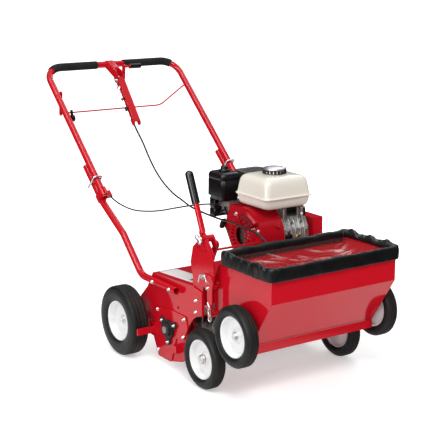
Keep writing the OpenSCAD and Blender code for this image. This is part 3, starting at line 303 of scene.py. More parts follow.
# %% [markdown]
# ## Cables
# Two control cables cross the open space under the handle. A cable is a curve with a round bevel:
# the seed cable sags from the pull rod over the deck to the seed gate, and the throttle cable from
# the right clamp to the engine. The route points are those of the CAD cords, in millimetres.

# %% Cable curves on the CAD routes
REAR_AXLE_Y = 0.038
SEED_ROUTE = [
    (-12, 486, 752), (-12, 474, 738), (-12, 420, 688), (-12, 361, 623), (-12, 292, 566),
    (-14, 202, 525), (-30, 100, 512), (-42, 20, 503), (-52, -60, 502), (-62, -150, 503),
    (-70, -225, 506), (-76, -290, 511), (-76, -350, 508), (-70, -400, 502), (-62, -440, 492),
    (-54, -468, 474), (-49, -482, 446), (-46, -488, 400), (-45, -494, 350), (-45, -510, 300),
    (-45, -532, 250), (-45, -554, 212), (-45, -565, 192), (-45, -567, 177)]
THROTTLE_ROUTE = [
    (-270, 214, 534), (-270, 202, 529), (-267, 184, 522), (-255, 146, 509), (-230, 114, 497),
    (-198, 84, 494), (-160, 48, 498), (-120, 8, 510), (-80, -30, 521), (-50, -58, 527),
    (-22, -84, 530), (-4, -96, 530), (5, -102, 530)]


def metres(x, y, z):
    """A place in metres, from millimetres with y counted from the rear axle."""
    return x / 1000, y / 1000 + REAR_AXLE_Y, z / 1000


def cable(name, node, route, diameter):
    """A round cord along a route, in place of a CAD node."""
    points = [metres(*stop) for stop in route]
    curve = bpy.data.curves.new(name, "CURVE")
    curve.dimensions = "3D"
    curve.bevel_depth = diameter / 2
    curve.bevel_resolution = 3
    curve.resolution_u = 6
    spline = curve.splines.new("BEZIER")
    spline.bezier_points.add(len(points) - 1)
    for knot, place in zip(spline.bezier_points, points):
        knot.co = place
        knot.handle_left_type = knot.handle_right_type = "AUTO"
    curve.materials.append(finishes["cord_black"])
    piece = add_object(name, curve)
    bpy.context.view_layer.update()
    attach(piece, "frame")
    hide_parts(node)


cable("seed_cable_jacket", "seed_cable", SEED_ROUTE, 0.007)
cable("throttle_cable_jacket", "throttle_cable", THROTTLE_ROUTE, 0.006)

# %% [markdown]
# ## Turned pieces
# Tyres, rims and caps are bodies of revolution. An outline of a few points is spun all the way
# round its axle, and a subdivision can then round what the outline leaves faceted. A second helper
# turns any finished bmesh into a piece that rides on a body of the frame.

# %% Helpers for bmesh pieces
UP, RIGHT, AHEAD = (0, 0, 1), (-1, 0, 0), (0, -1, 0)


def at(x, y, z):
    """A place as a vector, from millimetres with y counted from the rear axle."""
    return Vector(metres(x, y, z))


def spin_outline(form, outline, centre, along, steps, closed=True):
    """Spin an outline of (radius, distance along the axle) points round the axle at centre."""
    form = bmesh.new() if form is None else form
    along = Vector(along)
    side = along.orthogonal().normalized()
    corners = [form.verts.new(Vector(centre) + side * r + along * d) for r, d in outline]
    pairs = list(zip(corners, corners[1:]))
    if closed:
        pairs.append((corners[-1], corners[0]))
    edges = [form.edges.new(pair) for pair in pairs]
    bmesh.ops.spin(form, geom=corners + edges, cent=centre, axis=along, angle=tau,
                   steps=steps, use_merge=True)
    return form


def place_piece(form, name, coat, *more, body="frame", slot=None, replaces=None, levels=0):
    """Turn a bmesh into a smooth piece on a body. The slot argument is not used."""
    bmesh.ops.remove_doubles(form, verts=form.verts, dist=1e-6)
    bmesh.ops.recalc_face_normals(form, faces=form.faces)
    mesh = to_mesh(form, name)
    for used in (coat, *more):
        mesh.materials.append(finishes[used])
    for face in mesh.polygons:
        face.use_smooth = True
    made = add_object(name, mesh)
    if levels:
        rounder = made.modifiers.new("rounder", "SUBSURF")
        rounder.levels = rounder.render_levels = levels
    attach(made, body)
    if replaces:
        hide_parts(replaces)
    print(name, "on", body, "has", len(mesh.polygons), "faces")
    return made


print("helpers ready")

# %% [markdown]
# ## Tyres
# Solid rubber tyres with a rounded sidewall, a raised ring at the shoulder and a tread with three
# grooves that run all the way round. Two points close together hold an edge crisp when the outline
# is subdivided. The faces near the outer radius get the finish of the tread.

# %% Spun tyres with ribbed tread
GROOVE = [(0.0002, 0.0032), (0.0008, 0.0018), (0.0028, 0.0011)]  # depth and half width
TREAD_DEEP = 0.0055
SMALL_WHEEL = (0.102, 0.06815, 0.024)  # radius, radius of the rim's seat, half width
WHEEL_SIZES = {"rear": (0.127, 0.07315, 0.0345), "front": SMALL_WHEEL}
wheel_places = {"rear_right": at(-342.5, 0, 127), "rear_left": at(342.5, 0, 127),
                "front_right": at(-289, -447, 102), "front_left": at(289, -447, 102)}
hopper_wheels = [at(-289, -632, 233), at(289, -632, 233)]


def spin_at(places, outline, steps):
    """The same outline spun at each place, with its outer side away from the machine."""
    form = None
    for place in places:
        form = spin_outline(form, outline, place, (1 if place.x > 0 else -1, 0, 0), steps)
    return form


def tyre_outline(radius, rim, half):
    deep = radius - rim
    side = [(rim, half - 0.0085), (rim + 0.002, half - 0.006), (rim + 0.006, half - 0.0022),
            (rim + deep * 0.42, half), (rim + deep * 0.6, half - 0.0004),
            (rim + deep * 0.66, half - 0.0018), (rim + deep * 0.72, half - 0.0012),
            (radius - 0.0075, half - 0.0034), (radius - 0.0042, half - 0.0058),
            (radius - 0.0012, half - 0.01)]
    tread = []
    for middle in (half * 0.42, 0.0, -half * 0.42):
        tread += [(radius - cut, middle + wide) for cut, wide in GROOVE]
        tread += [(radius - cut, middle - wide) for cut, wide in reversed(GROOVE)]
    return side + tread + [(r, -d) for r, d in reversed(side)]


def make_tyre(name, body, node, places, radius, rim, half):
    form = spin_at(places, tyre_outline(radius, rim, half), 72)
    for face in form.faces:
        spot = face.calc_center_median() - places[0]
        if hypot(spot.y, spot.z) > radius - TREAD_DEEP:
            face.material_index = 1
    place_piece(form, name, "tyre", "tyre_tread", body=body, replaces=node, levels=1)


for wheel, place in wheel_places.items():
    kind, side = wheel.split("_")
    make_tyre(f"{kind}_tyre_rubber_{side}", f"{kind}_wheel_{side}", f"{kind}_tyre_{side}", [place],
              *WHEEL_SIZES[kind])
make_tyre("hopper_tyre_rubber", "hopper_axle", "hopper_tyres", hopper_wheels, *SMALL_WHEEL)

# %% [markdown]
# ## Wheel rims
# The rims are white pressed discs: a rolled lip, a wall that falls into the dish, a web that swells
# towards the hub, and a hub boss that the axle runs through. The outline is closed, so that each
# rim is a solid.

# %% Dished white rims
SEAT_GAP = 0.00015
WHEEL_BORE, HOPPER_BORE = 0.00955, 0.0081


def rim_outline(rim, half, bore):
    lip = half - 0.007
    wall = rim - 0.0001
    dish = min(lip - 0.0225, 0.0)
    back = [(bore, -half), (0.018, -half), (0.018, dish - 0.008), (0.022, dish - 0.006),
            (rim - 0.014, dish - 0.0035), (rim - 0.0062, dish + 0.001),
            (rim - 0.0042, -lip + 0.003), (rim - 0.0042, -lip), (wall, -lip)]
    rolled = [(wall, lip - 0.002), (wall - 0.0006, lip), (wall - 0.0032, lip),
              (wall - 0.0046, lip - 0.0016), (wall - 0.0068, lip - 0.011)]
    web = [(wall - 0.0095, dish + 0.0036), (wall - 0.0135, dish + 0.0006), (wall - 0.02, dish),
           (0.033, dish - 0.0004), (0.0275, dish + 0.0006), (0.0235, dish + 0.0022)]
    hub = [(0.0205, 0.0018), (0.0192, 0.0034), (0.0175, 0.004), (bore, 0.004)]
    return back + rolled + web + hub


def make_rim(name, body, node, places, seat, half, bore):
    form = spin_at(places, rim_outline(seat - SEAT_GAP, half, bore), 64)
    place_piece(form, name, "white_paint", body=body, replaces=node)


for wheel, place in wheel_places.items():
    kind, side = wheel.split("_")
    make_rim(f"{kind}_rim_disc_{side}", f"{kind}_wheel_{side}", f"{kind}_rim_{side}", [place],
             *WHEEL_SIZES[kind][1:], WHEEL_BORE)
make_rim("hopper_rim_disc", "hopper_axle", "hopper_rims", hopper_wheels, *SMALL_WHEEL[1:],
         HOPPER_BORE)

# %% [markdown]
# ## Fuel tank
# The tank is two pressed halves welded at a flange. Rings of a rounded rectangle are stacked from
# the bottom to the filler and bridged into a skin. The upper half leans in and turns over softly
# into the top, and a spun neck stands on it.


# %% Tank skin lofted from rounded rectangles
def rounded_ring(form, middle, half_x, half_y, corner, count):
    """A ring of edges in the shape of a rounded rectangle, with its points on the four corners."""
    ring = bmesh.ops.create_circle(form, segments=count, radius=1)["verts"]
    corner = min(corner, half_x, half_y)
    each = count // 4
    for k, vert in enumerate(ring):
        quarter, step = divmod(k, each)
        turn = (quarter + step / (each - 1)) * pi / 2
        x = (half_x - corner) * (1 if quarter in (0, 3) else -1) + corner * cos(turn)
        y = (half_y - corner) * (1 if quarter in (0, 1) else -1) + corner * sin(turn)
        vert.co = Vector((middle[0] + x, middle[1] + y, middle[2]))
    return list({e for v in ring for e in v.link_edges})


def bridge_rings(form, rings):
    """Bridge each ring to the next and cap both ends."""
    for a, b in zip(rings, rings[1:]):
        bmesh.ops.bridge_loops(form, edges=a + b)
    for end in (rings[0], rings[-1]):
        bmesh.ops.contextual_create(form, geom=end)


def loft(middle, half_x, half_y, levels, count):
    """A skin over rings at levels of (height, inset, corner radius) in millimetres."""
    form = bmesh.new()
    bridge_rings(form, [rounded_ring(form, (middle.x, middle.y, z / 1000), half_x - inset / 1000,
                                     half_y - inset / 1000, corner / 1000, count)
                        for z, inset, corner in levels])
    return form


TANK = [(556.5, 34, 16), (557, 22, 20), (559.5, 13, 22), (565, 7.5, 22), (576, 5, 20),
        (592, 3.2, 18), (594, 2.6, 17), (594.4, -1.4, 20), (595.4, -2.4, 21), (598.8, -2.4, 21),
        (599.6, -1.4, 20), (600, 2.4, 18), (604, 3, 19), (622, 5, 21), (640, 7.2, 22),
        (650, 9.5, 23), (657, 13, 24), (662, 18.5, 25), (665.4, 27, 25), (667.2, 38, 24),
        (668, 54, 20), (668.4, 72, 14)]
NECK = [(0.0255, 0.664), (0.0255, 0.678), (0.0245, 0.68), (0.002, 0.68), (0.002, 0.664)]
tank_form = loft(at(92, -308, 0), 0.1, 0.096, TANK, 64)
spin_outline(tank_form, NECK, at(96, -308, 0), UP, 48)
place_piece(tank_form, "fuel_tank_skin", "tank_cream", replaces="fuel_tank", levels=1)

# %% [markdown]
# ## Gathered band on the hopper
# An elastic band of black cloth holds the film on the hopper's rim. It starts as a flat grid, long
# one way, and is wrapped round the rim: up the outside, over the edge and down the inside. First
# come two helpers: one walks round the rim, and one walks across the band.

# %% Ways round the rim and across the band
RIM_HALF_X, RIM_HALF_Y, RIM_CORNER = 0.254, 0.1325, 0.012
RIM_MIDDLE_Y = -0.6365 + REAR_AXLE_Y
BAND = [(-0.0005, 0.436), (0.0085, 0.4363), (0.011, 0.44), (0.0114, 0.452), (0.011, 0.466),
        (0.0098, 0.4775), (0.0056, 0.4815), (-0.0008, 0.4818), (-0.0068, 0.479),
        (-0.0105, 0.472), (-0.0118, 0.461), (-0.011, 0.45), (-0.0085, 0.444)]


def rim_place(s, grow):
    """A point a share s of the way round the rim, set out by grow, and the way out there."""
    half_x, half_y = RIM_HALF_X + grow, RIM_HALF_Y + grow
    corner = max(0.003, RIM_CORNER + grow)
    straight_x, straight_y = 2 * (half_x - corner), 2 * (half_y - corner)
    arc = corner * pi / 2
    left = (s % 1.0) * 2 * (straight_x + straight_y + 2 * arc)
    for k, straight in enumerate((straight_x, straight_y, straight_x, straight_y)):
        turn = -pi / 2 + k * pi / 2
        out = Vector((cos(turn), sin(turn)))
        ahead = Vector((-out.y, out.x))
        reach = half_y if k % 2 == 0 else half_x
        if left <= straight:
            return out * reach + ahead * (left - straight / 2), out
        left -= straight
        if left <= arc:
            swing = left / corner
            way = out * cos(swing) + ahead * sin(swing)
            return out * (reach - corner) + ahead * (straight / 2) + way * corner, way
        left -= arc
    return rim_place(0.0, grow)


def band_section(t):
    """Out from the rim and up, at a share t of the band's width, and the way across there."""
    step = t * (len(BAND) - 1)
    k = min(int(step), len(BAND) - 2)
    a, b = Vector(BAND[k]), Vector(BAND[k + 1])
    return a.lerp(b, step - k), (b - a).normalized()


print("band section", len(BAND), "points")

# %% [markdown]
# ## Folds of the band
# Gathers are waves that run across the band. They come from noise at three scales, so that no two
# folds are alike, and they are larger at the two ends of the hopper. At the left end the cloth is
# slack: lumps of it stand on the rim and the inner edge is drawn up.

# %% Band wrapped round the rim
FOLD_HIGH, SWELL_HIGH = 0.0024, 0.003
END_FOLD, END_SWELL = 0.002, 0.0028  # what the ends add
CREST = 0.55  # share of the width at which the band turns over the rim
SLACK_HIGH, SLACK_OUT = 0.013, 0.004
DRAWN_UP, DRAWN_TO = 0.55, 0.479
BAND_LOW = 0.4375


def wave(x, y, z):
    """Smooth noise from -1 to 1."""
    return noise.noise(Vector((x, y, z)))


def clamp(value):
    return min(1.0, max(0.0, value))


band_form = bmesh.new()
bmesh.ops.create_grid(band_form, x_segments=520, y_segments=22, size=0.5)
for vert in band_form.verts:
    s, t = vert.co.x + 0.5, vert.co.y + 0.5
    (out, up), way = band_section(t)
    normal = rim_place(s, out)[1]
    ends, far = abs(normal.x), max(0.0, normal.x)
    lean = 0.64 * sin(t * 2.6 + 1.1)
    fold = wave(s * 78 + lean, t * 1.6, 1.3) + 0.5 * wave(s * 170 + t * 6, t * 3.4, 7.1)
    slow = wave(s * 30, t * 1.4, 4.4)
    lift = (FOLD_HIGH + END_FOLD * ends) * fold + (SWELL_HIGH + END_SWELL * ends) * slow
    lift *= 0.3 + 0.7 * sin(pi * clamp(t))
    out, up = out + way.y * lift, up - way.x * lift
    lump = max(0.0, wave(s * 38, 2.0, 0.7) + 0.2) * clamp(1 - abs(t - CREST) / 0.3)
    flap = clamp((t - CREST) / 0.12)
    up += far * (SLACK_HIGH * lump + DRAWN_UP * flap * (DRAWN_TO - up))
    place = rim_place(s, out + SLACK_OUT * far * (1 - flap))[0]
    vert.co = Vector((place.x, place.y + RIM_MIDDLE_Y, max(BAND_LOW, up)))
bmesh.ops.remove_doubles(band_form, verts=band_form.verts, dist=2e-5)
band_area = sum(face.calc_area() for face in band_form.faces)
band_run = 2 * (2 * RIM_HALF_X + 2 * RIM_HALF_Y)
finish("cover_fabric", moulded((0.004, 0.004, 0.0045), (0.009, 0.009, 0.0095), 0.36, 1500, 0.2),
       Specular_IOR_Level=0.3)
band = place_piece(band_form, "hopper_band_cloth", "cover_fabric", body="hopper_cover",
                   replaces="hopper_band")
round(band_area / band_run, 4)
print("band area", round(band_area, 4), "run", round(band_run, 3))

# %% [markdown]
# ## Clear film over the hopper
# The film hangs inside the band. A grid is pinned along its edge, given some spare size and left to
# fall for a few frames of Blender's cloth. A slight ripple at the start lets the folds form.

# %% Film dropped as cloth
FILM_X, FILM_Y, FILM_TOP = 0.243, 0.1215, 0.46
SPARE = 0.07
SETTLED = 26
film_form = bmesh.new()
bmesh.ops.create_grid(film_form, x_segments=110, y_segments=56, size=0.5)
for vert in film_form.verts:
    x, y = vert.co.x * 2 * FILM_X, vert.co.y * 2 * FILM_Y
    ripple = 0.006 * wave(x * 15 + y * 11, y * 5 - x * 3, 2.2)
    ripple += 0.003 * wave(x * 46 + y * 30, y * 9, 5.7)
    edge = min(1, (0.5 - abs(vert.co.x)) * 9) * min(1, (0.5 - abs(vert.co.y)) * 6)
    vert.co = Vector((x, y + RIM_MIDDLE_Y, FILM_TOP + ripple * edge))
film_form.verts.index_update()
rim_verts = [v.index for v in film_form.verts if v.is_boundary]
film_start = add_object("film_start", to_mesh(film_form, "film_start"))
film_start.vertex_groups.new(name="pinned").add(rim_verts, 1.0, "REPLACE")
fall = film_start.modifiers.new("fall", "CLOTH")
for key, value in {"quality": 6, "mass": 0.25, "tension_stiffness": 25,
                   "compression_stiffness": 18, "shear_stiffness": 8, "bending_stiffness": 0.1,
                   "shrink_min": -SPARE, "vertex_group_mass": "pinned"}.items():
    setattr(fall.settings, key, value)
fall.point_cache.frame_end = 30
for count in range(1, SETTLED + 1):
    scene.frame_set(count)
hung = film_start.evaluated_get(bpy.context.evaluated_depsgraph_get())
settled = bpy.data.meshes.new_from_object(hung)
bpy.data.objects.remove(film_start)
scene.frame_set(1)
print("film falls to", round(min(v.co.z for v in settled.vertices), 4))

# %% [markdown]
# ## Creases of the film
# Thin film also creases in short straight lines that lie nearly side by side. They're drawn at
# random from a fixed seed, and their lean turns slowly from one end to the other. How near a point
# is to a crease goes into an attribute, and the material turns white and more opaque there: a
# painted highlight for the light that the creases catch.

# %% Creases drawn into the film
CREASES = 54
CREASE_HIGH = 0.008
streaks = []
chance = random.Random(11)
for k in range(CREASES):
    spot = Vector((chance.uniform(-0.215, 0.215), chance.uniform(-0.095, 0.095)))
    lean = 1.6 * spot.x - 0.35 + chance.uniform(-0.22, 0.22)
    half = Vector((cos(lean), sin(lean))) * chance.uniform(0.012, 0.048)
    streaks.append((spot - half, half * 2, chance.uniform(0.0022, 0.0048),
                    chance.uniform(0.25, 0.9)))
film_form = bmesh.new()
film_form.from_mesh(settled)
bpy.data.meshes.remove(settled)
crease = film_form.verts.layers.float.new("crease")
for vert in film_form.verts:
    x, y = vert.co.x, vert.co.y - RIM_MIDDLE_Y
    edge = min(1, (FILM_X - abs(x)) * 18) * min(1, (FILM_Y - abs(y)) * 22)
    sway = Vector((wave(x * 14, y * 14, 3.1), wave(x * 14, y * 14, 6.4))) * 0.008
    spot = Vector((x, y)) + sway
    ridge = 0.0
    for start, line, wide, bright in streaks:
        share = clamp((spot - start).dot(line) / line.length_squared)
        off = (spot - start - line * share).length / wide
        if off < 8:
            core = exp(-off * off) * (0.3 + 0.7 * sin(pi * share))
            ridge = max(ridge, bright * (core + 0.2 * exp(-off / 2)))
    vert[crease] = ridge * edge
    vert.co.z += edge * CREASE_HIGH * ridge


def film_draw(tone, where):
    """Clear film with a painted highlight along its creases, where it turns white and more opaque.
    """
    folds = tone.node("ShaderNodeAttribute", {"attribute_name": "crease"}, out="Fac")
    mottle = tone.grain(where, 160, 4, 0.6)
    # Painted highlight: the film turns white and more opaque along the creases, for the light they
    # catch.
    crease_highlight = (folds * (0.6 + mottle * 0.8)).between(0.05, 0.9)
    return {"Base Color": crease_highlight.blend((0.75, 0.3, 0.3), (0.95, 0.88, 0.86)),
            "Alpha": 0.05 + crease_highlight * 0.5,
            "Roughness": 0.04 + crease_highlight * 0.2,
            "Normal": mottle.bump(0.12, 0.002)}


finish("clear_film", film_draw, Specular_IOR_Level=0.8)
film = place_piece(film_form, "hopper_film_sheet", "clear_film", body="hopper_cover",
                   replaces="hopper_film", levels=1)

# %% [markdown]
# ## Filler cap
# The cap is spun like a wheel. Then two of every three faces round its side are inset and pushed in
# by themselves, which gives the finger grooves without drawing one of them. The grooves and the
# flange below them are darker.

# %% Cap with finger grooves
CAP = [(0.0255, 0.0), (0.0415, 0.0), (0.042, 0.0008), (0.042, 0.0028), (0.039, 0.004),
       (0.0388, 0.0135), (0.0412, 0.0145), (0.0416, 0.0165), (0.04, 0.019), (0.034, 0.0212),
       (0.02, 0.023), (0.0, 0.0239), (0.0, 0.0205), (0.0255, 0.014)]
CAP_STEPS = 60
FLANGE_HIGH = 0.005
cap_low, cap_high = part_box("fuel_cap")
cap_middle = (cap_low + cap_high) / 2
cap_middle.z = cap_low.z
cap_form = spin_outline(None, CAP, cap_middle, UP, CAP_STEPS)
bmesh.ops.remove_doubles(cap_form, verts=cap_form.verts, dist=1e-6)
grooves = []
for face in cap_form.faces:
    spot = face.calc_center_median() - cap_middle
    on_side = 0.006 < spot.z < 0.012 and hypot(spot.x, spot.y) > 0.036
    step = round(atan2(spot.y, spot.x) / tau * CAP_STEPS - 0.5)
    if spot.z < FLANGE_HIGH:
        face.material_index = 2
    if on_side and step % 3 < 2:
        grooves.append(face)
        face.material_index = 1
bmesh.ops.inset_individual(cap_form, faces=grooves, thickness=0.0005, depth=-0.0035)
place_piece(cap_form, "fuel_cap_shell", "cap_metal", "cast_black", "muffler_metal",
            body="fuel_cap", replaces="fuel_cap")

# %% [markdown]
# ## Air cleaner
# A moulded box with soft corners, a lid joint and upright ribs on the side that faces the engine.
# It is lofted from the same rounded rectangles as the tank, and the ribs are a wave on the points
# of its middle ring. A turned knob holds the lid, and a square duct leads down from the box.

# %% Moulded air cleaner
AIR = [(549, 9, 14), (549.6, 7, 14), (561, 6, 14), (562, 0.6, 16), (563.5, 0, 16), (600, 0, 18),
       (622, 0, 18), (623, 1.4, 18), (625, 1.4, 18), (626, 0, 18), (638, 0.4, 18), (645, 2.5, 18),
       (649, 7, 18), (650, 13, 16), (650.2, 26, 10)]
AIR_KNOB = [(0.0, 0.6495), (0.0195, 0.6495), (0.0198, 0.654), (0.0175, 0.657), (0.0135, 0.658),
            (0.0125, 0.662), (0.0128, 0.667), (0.0105, 0.6698), (0.0, 0.67)]
DUCT = [(480, 5, 5), (481, 1.5, 5), (484, 0, 5), (508, 0, 5), (509.5, 1.6, 5), (512, 1.6, 5),
        (513.5, 0, 5), (549.5, 0, 5)]
RIB_HIGH, RIB_TURN = 0.0016, 620
air_middle = at(22, -104, 0)
air_form = loft(air_middle, 0.042, 0.052, AIR, 96)
for vert in air_form.verts:
    out = vert.co - air_middle
    if 0.564 < out.z < 0.621 and out.y < -0.03:
        vert.co.y += RIB_HIGH * (1 - cos(out.x * RIB_TURN))
place_piece(air_form, "air_cleaner_case", "black_plastic", replaces="air_cleaner")
lid_form = spin_outline(None, AIR_KNOB, air_middle, UP, 48, closed=False)
place_piece(lid_form, "air_cleaner_knob", "black_plastic")
duct_form = loft(at(22, -69, 0), 0.03, 0.017, DUCT, 48)
place_piece(duct_form, "air_cleaner_duct", "black_plastic")

# %% [markdown]
# ## Louvres on the engine cover
# A raised panel of louvres leans on the upper front of the red fan cover. A grid of small squares
# is inset face by face and sunk, so that dark slots are left between red bars. The four corners of
# the panel are set one by one, because it is seen as a leaning lozenge.


# %% Louvre panel
def new_verts(grown):
    """The vertices that an extrude has made."""
    return [g for g in grown["geom"] if isinstance(g, bmesh.types.BMVert)]


LOUVRE = [Vector(c) for c in ((0.01, 0.07), (-0.026, 0.088), (-0.083, 0.06), (-0.04, 0.029))]
PANEL_OUT, SLOT_DEEP = 0.004, 0.006
recoil_low, recoil_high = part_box("recoil_cover")
crank = (recoil_low + recoil_high) / 2
crank.x = recoil_low.x
fan_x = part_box("fan_cover")[0].x
louvre_form = bmesh.new()
bmesh.ops.create_grid(louvre_form, x_segments=3, y_segments=4, size=0.5)
slots = list(louvre_form.faces)
bmesh.ops.inset_individual(louvre_form, faces=slots, thickness=0.045, depth=0.0)
for vert in louvre_form.verts:
    a, b = vert.co.x + 0.5, vert.co.y + 0.5
    spot = LOUVRE[0].lerp(LOUVRE[1], a).lerp(LOUVRE[3].lerp(LOUVRE[2], a), b)
    vert.co = Vector((crank.x - PANEL_OUT, crank.y + spot.x, crank.z + spot.y))
for face in slots:
    face.material_index = 1
    for vert in face.verts:
        vert.co.x += SLOT_DEEP
skirt = [e for e in louvre_form.edges if e.is_boundary]
for vert in new_verts(bmesh.ops.extrude_edge_only(louvre_form, edges=skirt)):
    vert.co.x = fan_x + 0.001
place_piece(louvre_form, "fan_cover_louvres", "cover_red", "cast_black")

# %% [markdown]
# ## Bolts
# Bolt heads are everywhere on a machine, so one helper makes them all: a six-sided face is extruded
# to the height of the head, its outer edges are bevelled, and a spun washer sits under it. A matrix
# turns the head to the way it points.


# %% Hex bolts
def washer_outline(bore, radius, low, shoulder, high, cut):
    """A flat ring with its outer edge cut off above the shoulder."""
    return [(bore, low), (radius, low), (radius, shoulder), (radius - cut, high), (bore, high)]


def hex_bolt(form, place, way, flats, tall, washer=0.0):
    """A bolt head at place that points along way, with its washer if that has a radius."""
    head = bmesh.new()
    bmesh.ops.create_circle(head, cap_ends=True, segments=6, radius=flats / sqrt(3))
    top = new_verts(bmesh.ops.extrude_face_region(head, geom=head.faces[:]))
    bmesh.ops.translate(head, verts=top, vec=(0, 0, tall))
    rim = [e for e in head.edges if all(v in top for v in e.verts)]
    bmesh.ops.bevel(head, geom=rim, offset=flats * 0.07, segments=2, profile=0.5,
                    affect="EDGES", material=-1)
    crown = max(head.faces, key=lambda f: f.calc_center_median().z)
    bmesh.ops.inset_region(head, faces=[crown], thickness=flats * 0.16, depth=flats * 0.05)
    turn = Vector(UP).rotation_difference(Vector(way)).to_matrix().to_4x4()
    bmesh.ops.transform(head, matrix=Matrix.Translation(place) @ turn, verts=head.verts)
    loose = to_mesh(head, "head")
    form.from_mesh(loose)
    bpy.data.meshes.remove(loose)
    if washer:
        outline = washer_outline(flats * 0.3, washer, -0.0002, 0.0012, 0.0018, 0.0006)
        spin_outline(form, outline, place, way, 32)


print("bolt helper ready")

# %% [markdown]
# ## Nuts and washers of the wheels
# The front axle ends in a nut on a washer at each side, and the other wheels show a plain washer on
# the hub. The hub washers turn with their wheels, and the nuts swing with the axle.

# %% Axle nuts and hub washers
NUT_WASHER = washer_outline(0.0096, 0.017, -0.0003, 0.0022, 0.0028, 0.0008)
axle_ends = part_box("front_axle")
for side, out, axle_end in zip(("right", "left"), (-1, 1), axle_ends):
    end = wheel_places[f"front_{side}"].copy()
    end.x = axle_end.x - out * 0.0105
    nut_form = bmesh.new()
    hex_bolt(nut_form, end + Vector((out * 0.0025, 0, 0)), (out, 0, 0), 0.0258, 0.0083)
    spin_outline(nut_form, NUT_WASHER, end, (out, 0, 0), 40)
    place_piece(nut_form, f"front_axle_nut_{side}", "zinc", body="front_axle")
for name, body, places, bore in [
        ("rear_hub_washer_right", "rear_wheel_right", [wheel_places["rear_right"]], 0.01),
        ("rear_hub_washer_left", "rear_wheel_left", [wheel_places["rear_left"]], 0.01),
        ("hopper_hub_washer", "hopper_axle", hopper_wheels, 0.0086)]:
    outline = washer_outline(bore, 0.0165, 0.0041, 0.0056, 0.0064, 0.0009)
    place_piece(spin_at(places, outline, 40), name, "zinc", body=body)

# %% [markdown]
# ## Bolts of the fan cover
# Five small bolts hold the fan cover. They sit on one circle round the crankshaft, unevenly spaced.

# %% Cover bolts on their circle
BOLT_CIRCLE = 0.086
cover_form = bmesh.new()
for turn in (52, 160, 205, 250, 318):
    spot = Vector((0, cos(radians(turn)), sin(radians(turn)))) * BOLT_CIRCLE
    hex_bolt(cover_form, Vector((fan_x, crank.y, crank.z)) + spot, RIGHT, 0.01, 0.0055, 0.0085)
place_piece(cover_form, "fan_cover_bolts", "zinc")

# %% [markdown]
# ## Rope guide
# A turned ring beside the starter's eye, with a dark throat. Two outlines are spun, and the inner
# one has its own finish.

# %% Rope guide on the starter cover
GUIDE = [(0.0055, -0.001), (0.0105, -0.001), (0.0112, 0.003), (0.0104, 0.0062),
         (0.0088, 0.007), (0.007, 0.0062), (0.0058, 0.004)]
THROAT = [(0.0, 0.0012), (0.0052, 0.0012), (0.0057, 0.0038)]
guide_at = crank + Vector((0, -0.044, -0.004))
guide_form = spin_outline(None, GUIDE, guide_at, RIGHT, 40)
ring_faces = len(guide_form.faces)
spin_outline(guide_form, THROAT, guide_at, RIGHT, 40, closed=False)
for face in list(guide_form.faces)[ring_faces:]:
    face.material_index = 1
place_piece(guide_form, "starter_rope_guide", "cover_red", "cast_black", levels=1)

# %% [markdown]
# ## Front of the crankcase
# Castings are stiffened by ribs that follow their outline. Each rib is a strip of faces along the
# case's front, extruded sideways to its thickness and bevelled. Bolts, a filler plug and a small
# dark switch box break up the plain casting.


# %% Ribs, bolts, plug and switch on the crankcase
def face_strip(form, near, far):
    """A strip of faces between two rows of places."""
    a, b = [[form.verts.new(place) for place in row] for row in (near, far)]
    return [form.faces.new((a[k], a[k + 1], b[k + 1], b[k])) for k in range(len(a) - 1)]


CASE_FRONT = [(-368.5, 363, 0), (-373.6, 414, 0), (-369.6, 474, 3), (-345.6, 514, 3)]
RIB_WIDE = 0.0042
LEVEL_SWITCH = [(432, 3, 3), (433, 0.8, 3), (436, 0, 3), (455, 0, 3), (458, 0.8, 3), (459, 3, 3)]
rib_form = bmesh.new()
for x in (101, 121, 141, 161, 181):
    rib = face_strip(rib_form, [at(x, y + 2, z) for y, z, lift in CASE_FRONT],
                     [at(x, y - 6.5, z + lift) for y, z, lift in CASE_FRONT])
    moved = new_verts(bmesh.ops.extrude_face_region(rib_form, geom=rib))
    bmesh.ops.translate(rib_form, verts=moved, vec=(RIB_WIDE, 0, 0))
sharp = [e for e in rib_form.edges if len(e.link_faces) == 2 and e.calc_face_angle(0) > 1.2]
bmesh.ops.bevel(rib_form, geom=sharp, offset=0.0008, segments=1, profile=0.5, affect="EDGES",
                material=-1)
place_piece(rib_form, "crankcase_ribs", "engine_metal")
bolt_form = bmesh.new()
for x, y, z in ((112, -373.5, 420), (152, -373.5, 420), (192, -373.5, 420), (112, -370, 468),
                (192, -370, 468), (132, -357, 496), (172, -357, 496)):
    way = (0, -0.96, 0.28) if z > 480 else AHEAD
    hex_bolt(bolt_form, at(x, y, z), way, 0.011, 0.007, 0.01)
place_piece(bolt_form, "crankcase_bolts", "zinc")
plug_form = bmesh.new()
hex_bolt(plug_form, at(152, -372, 446), AHEAD, 0.019, 0.01, 0.0125)
place_piece(plug_form, "crankcase_plug", "brass", slot="zinc")
switch_form = loft(at(112, -376, 0), 0.011, 0.009, LEVEL_SWITCH, 32)
place_piece(switch_form, "oil_level_switch", "black_plastic")

# %% [markdown]
# ## Under the tank
# A dark bracket and a small fuel cock hang below the tank. The bracket is a strip of faces folded
# twice and given a thickness. The cock is a spun body, and its paddle is lofted like the tank.

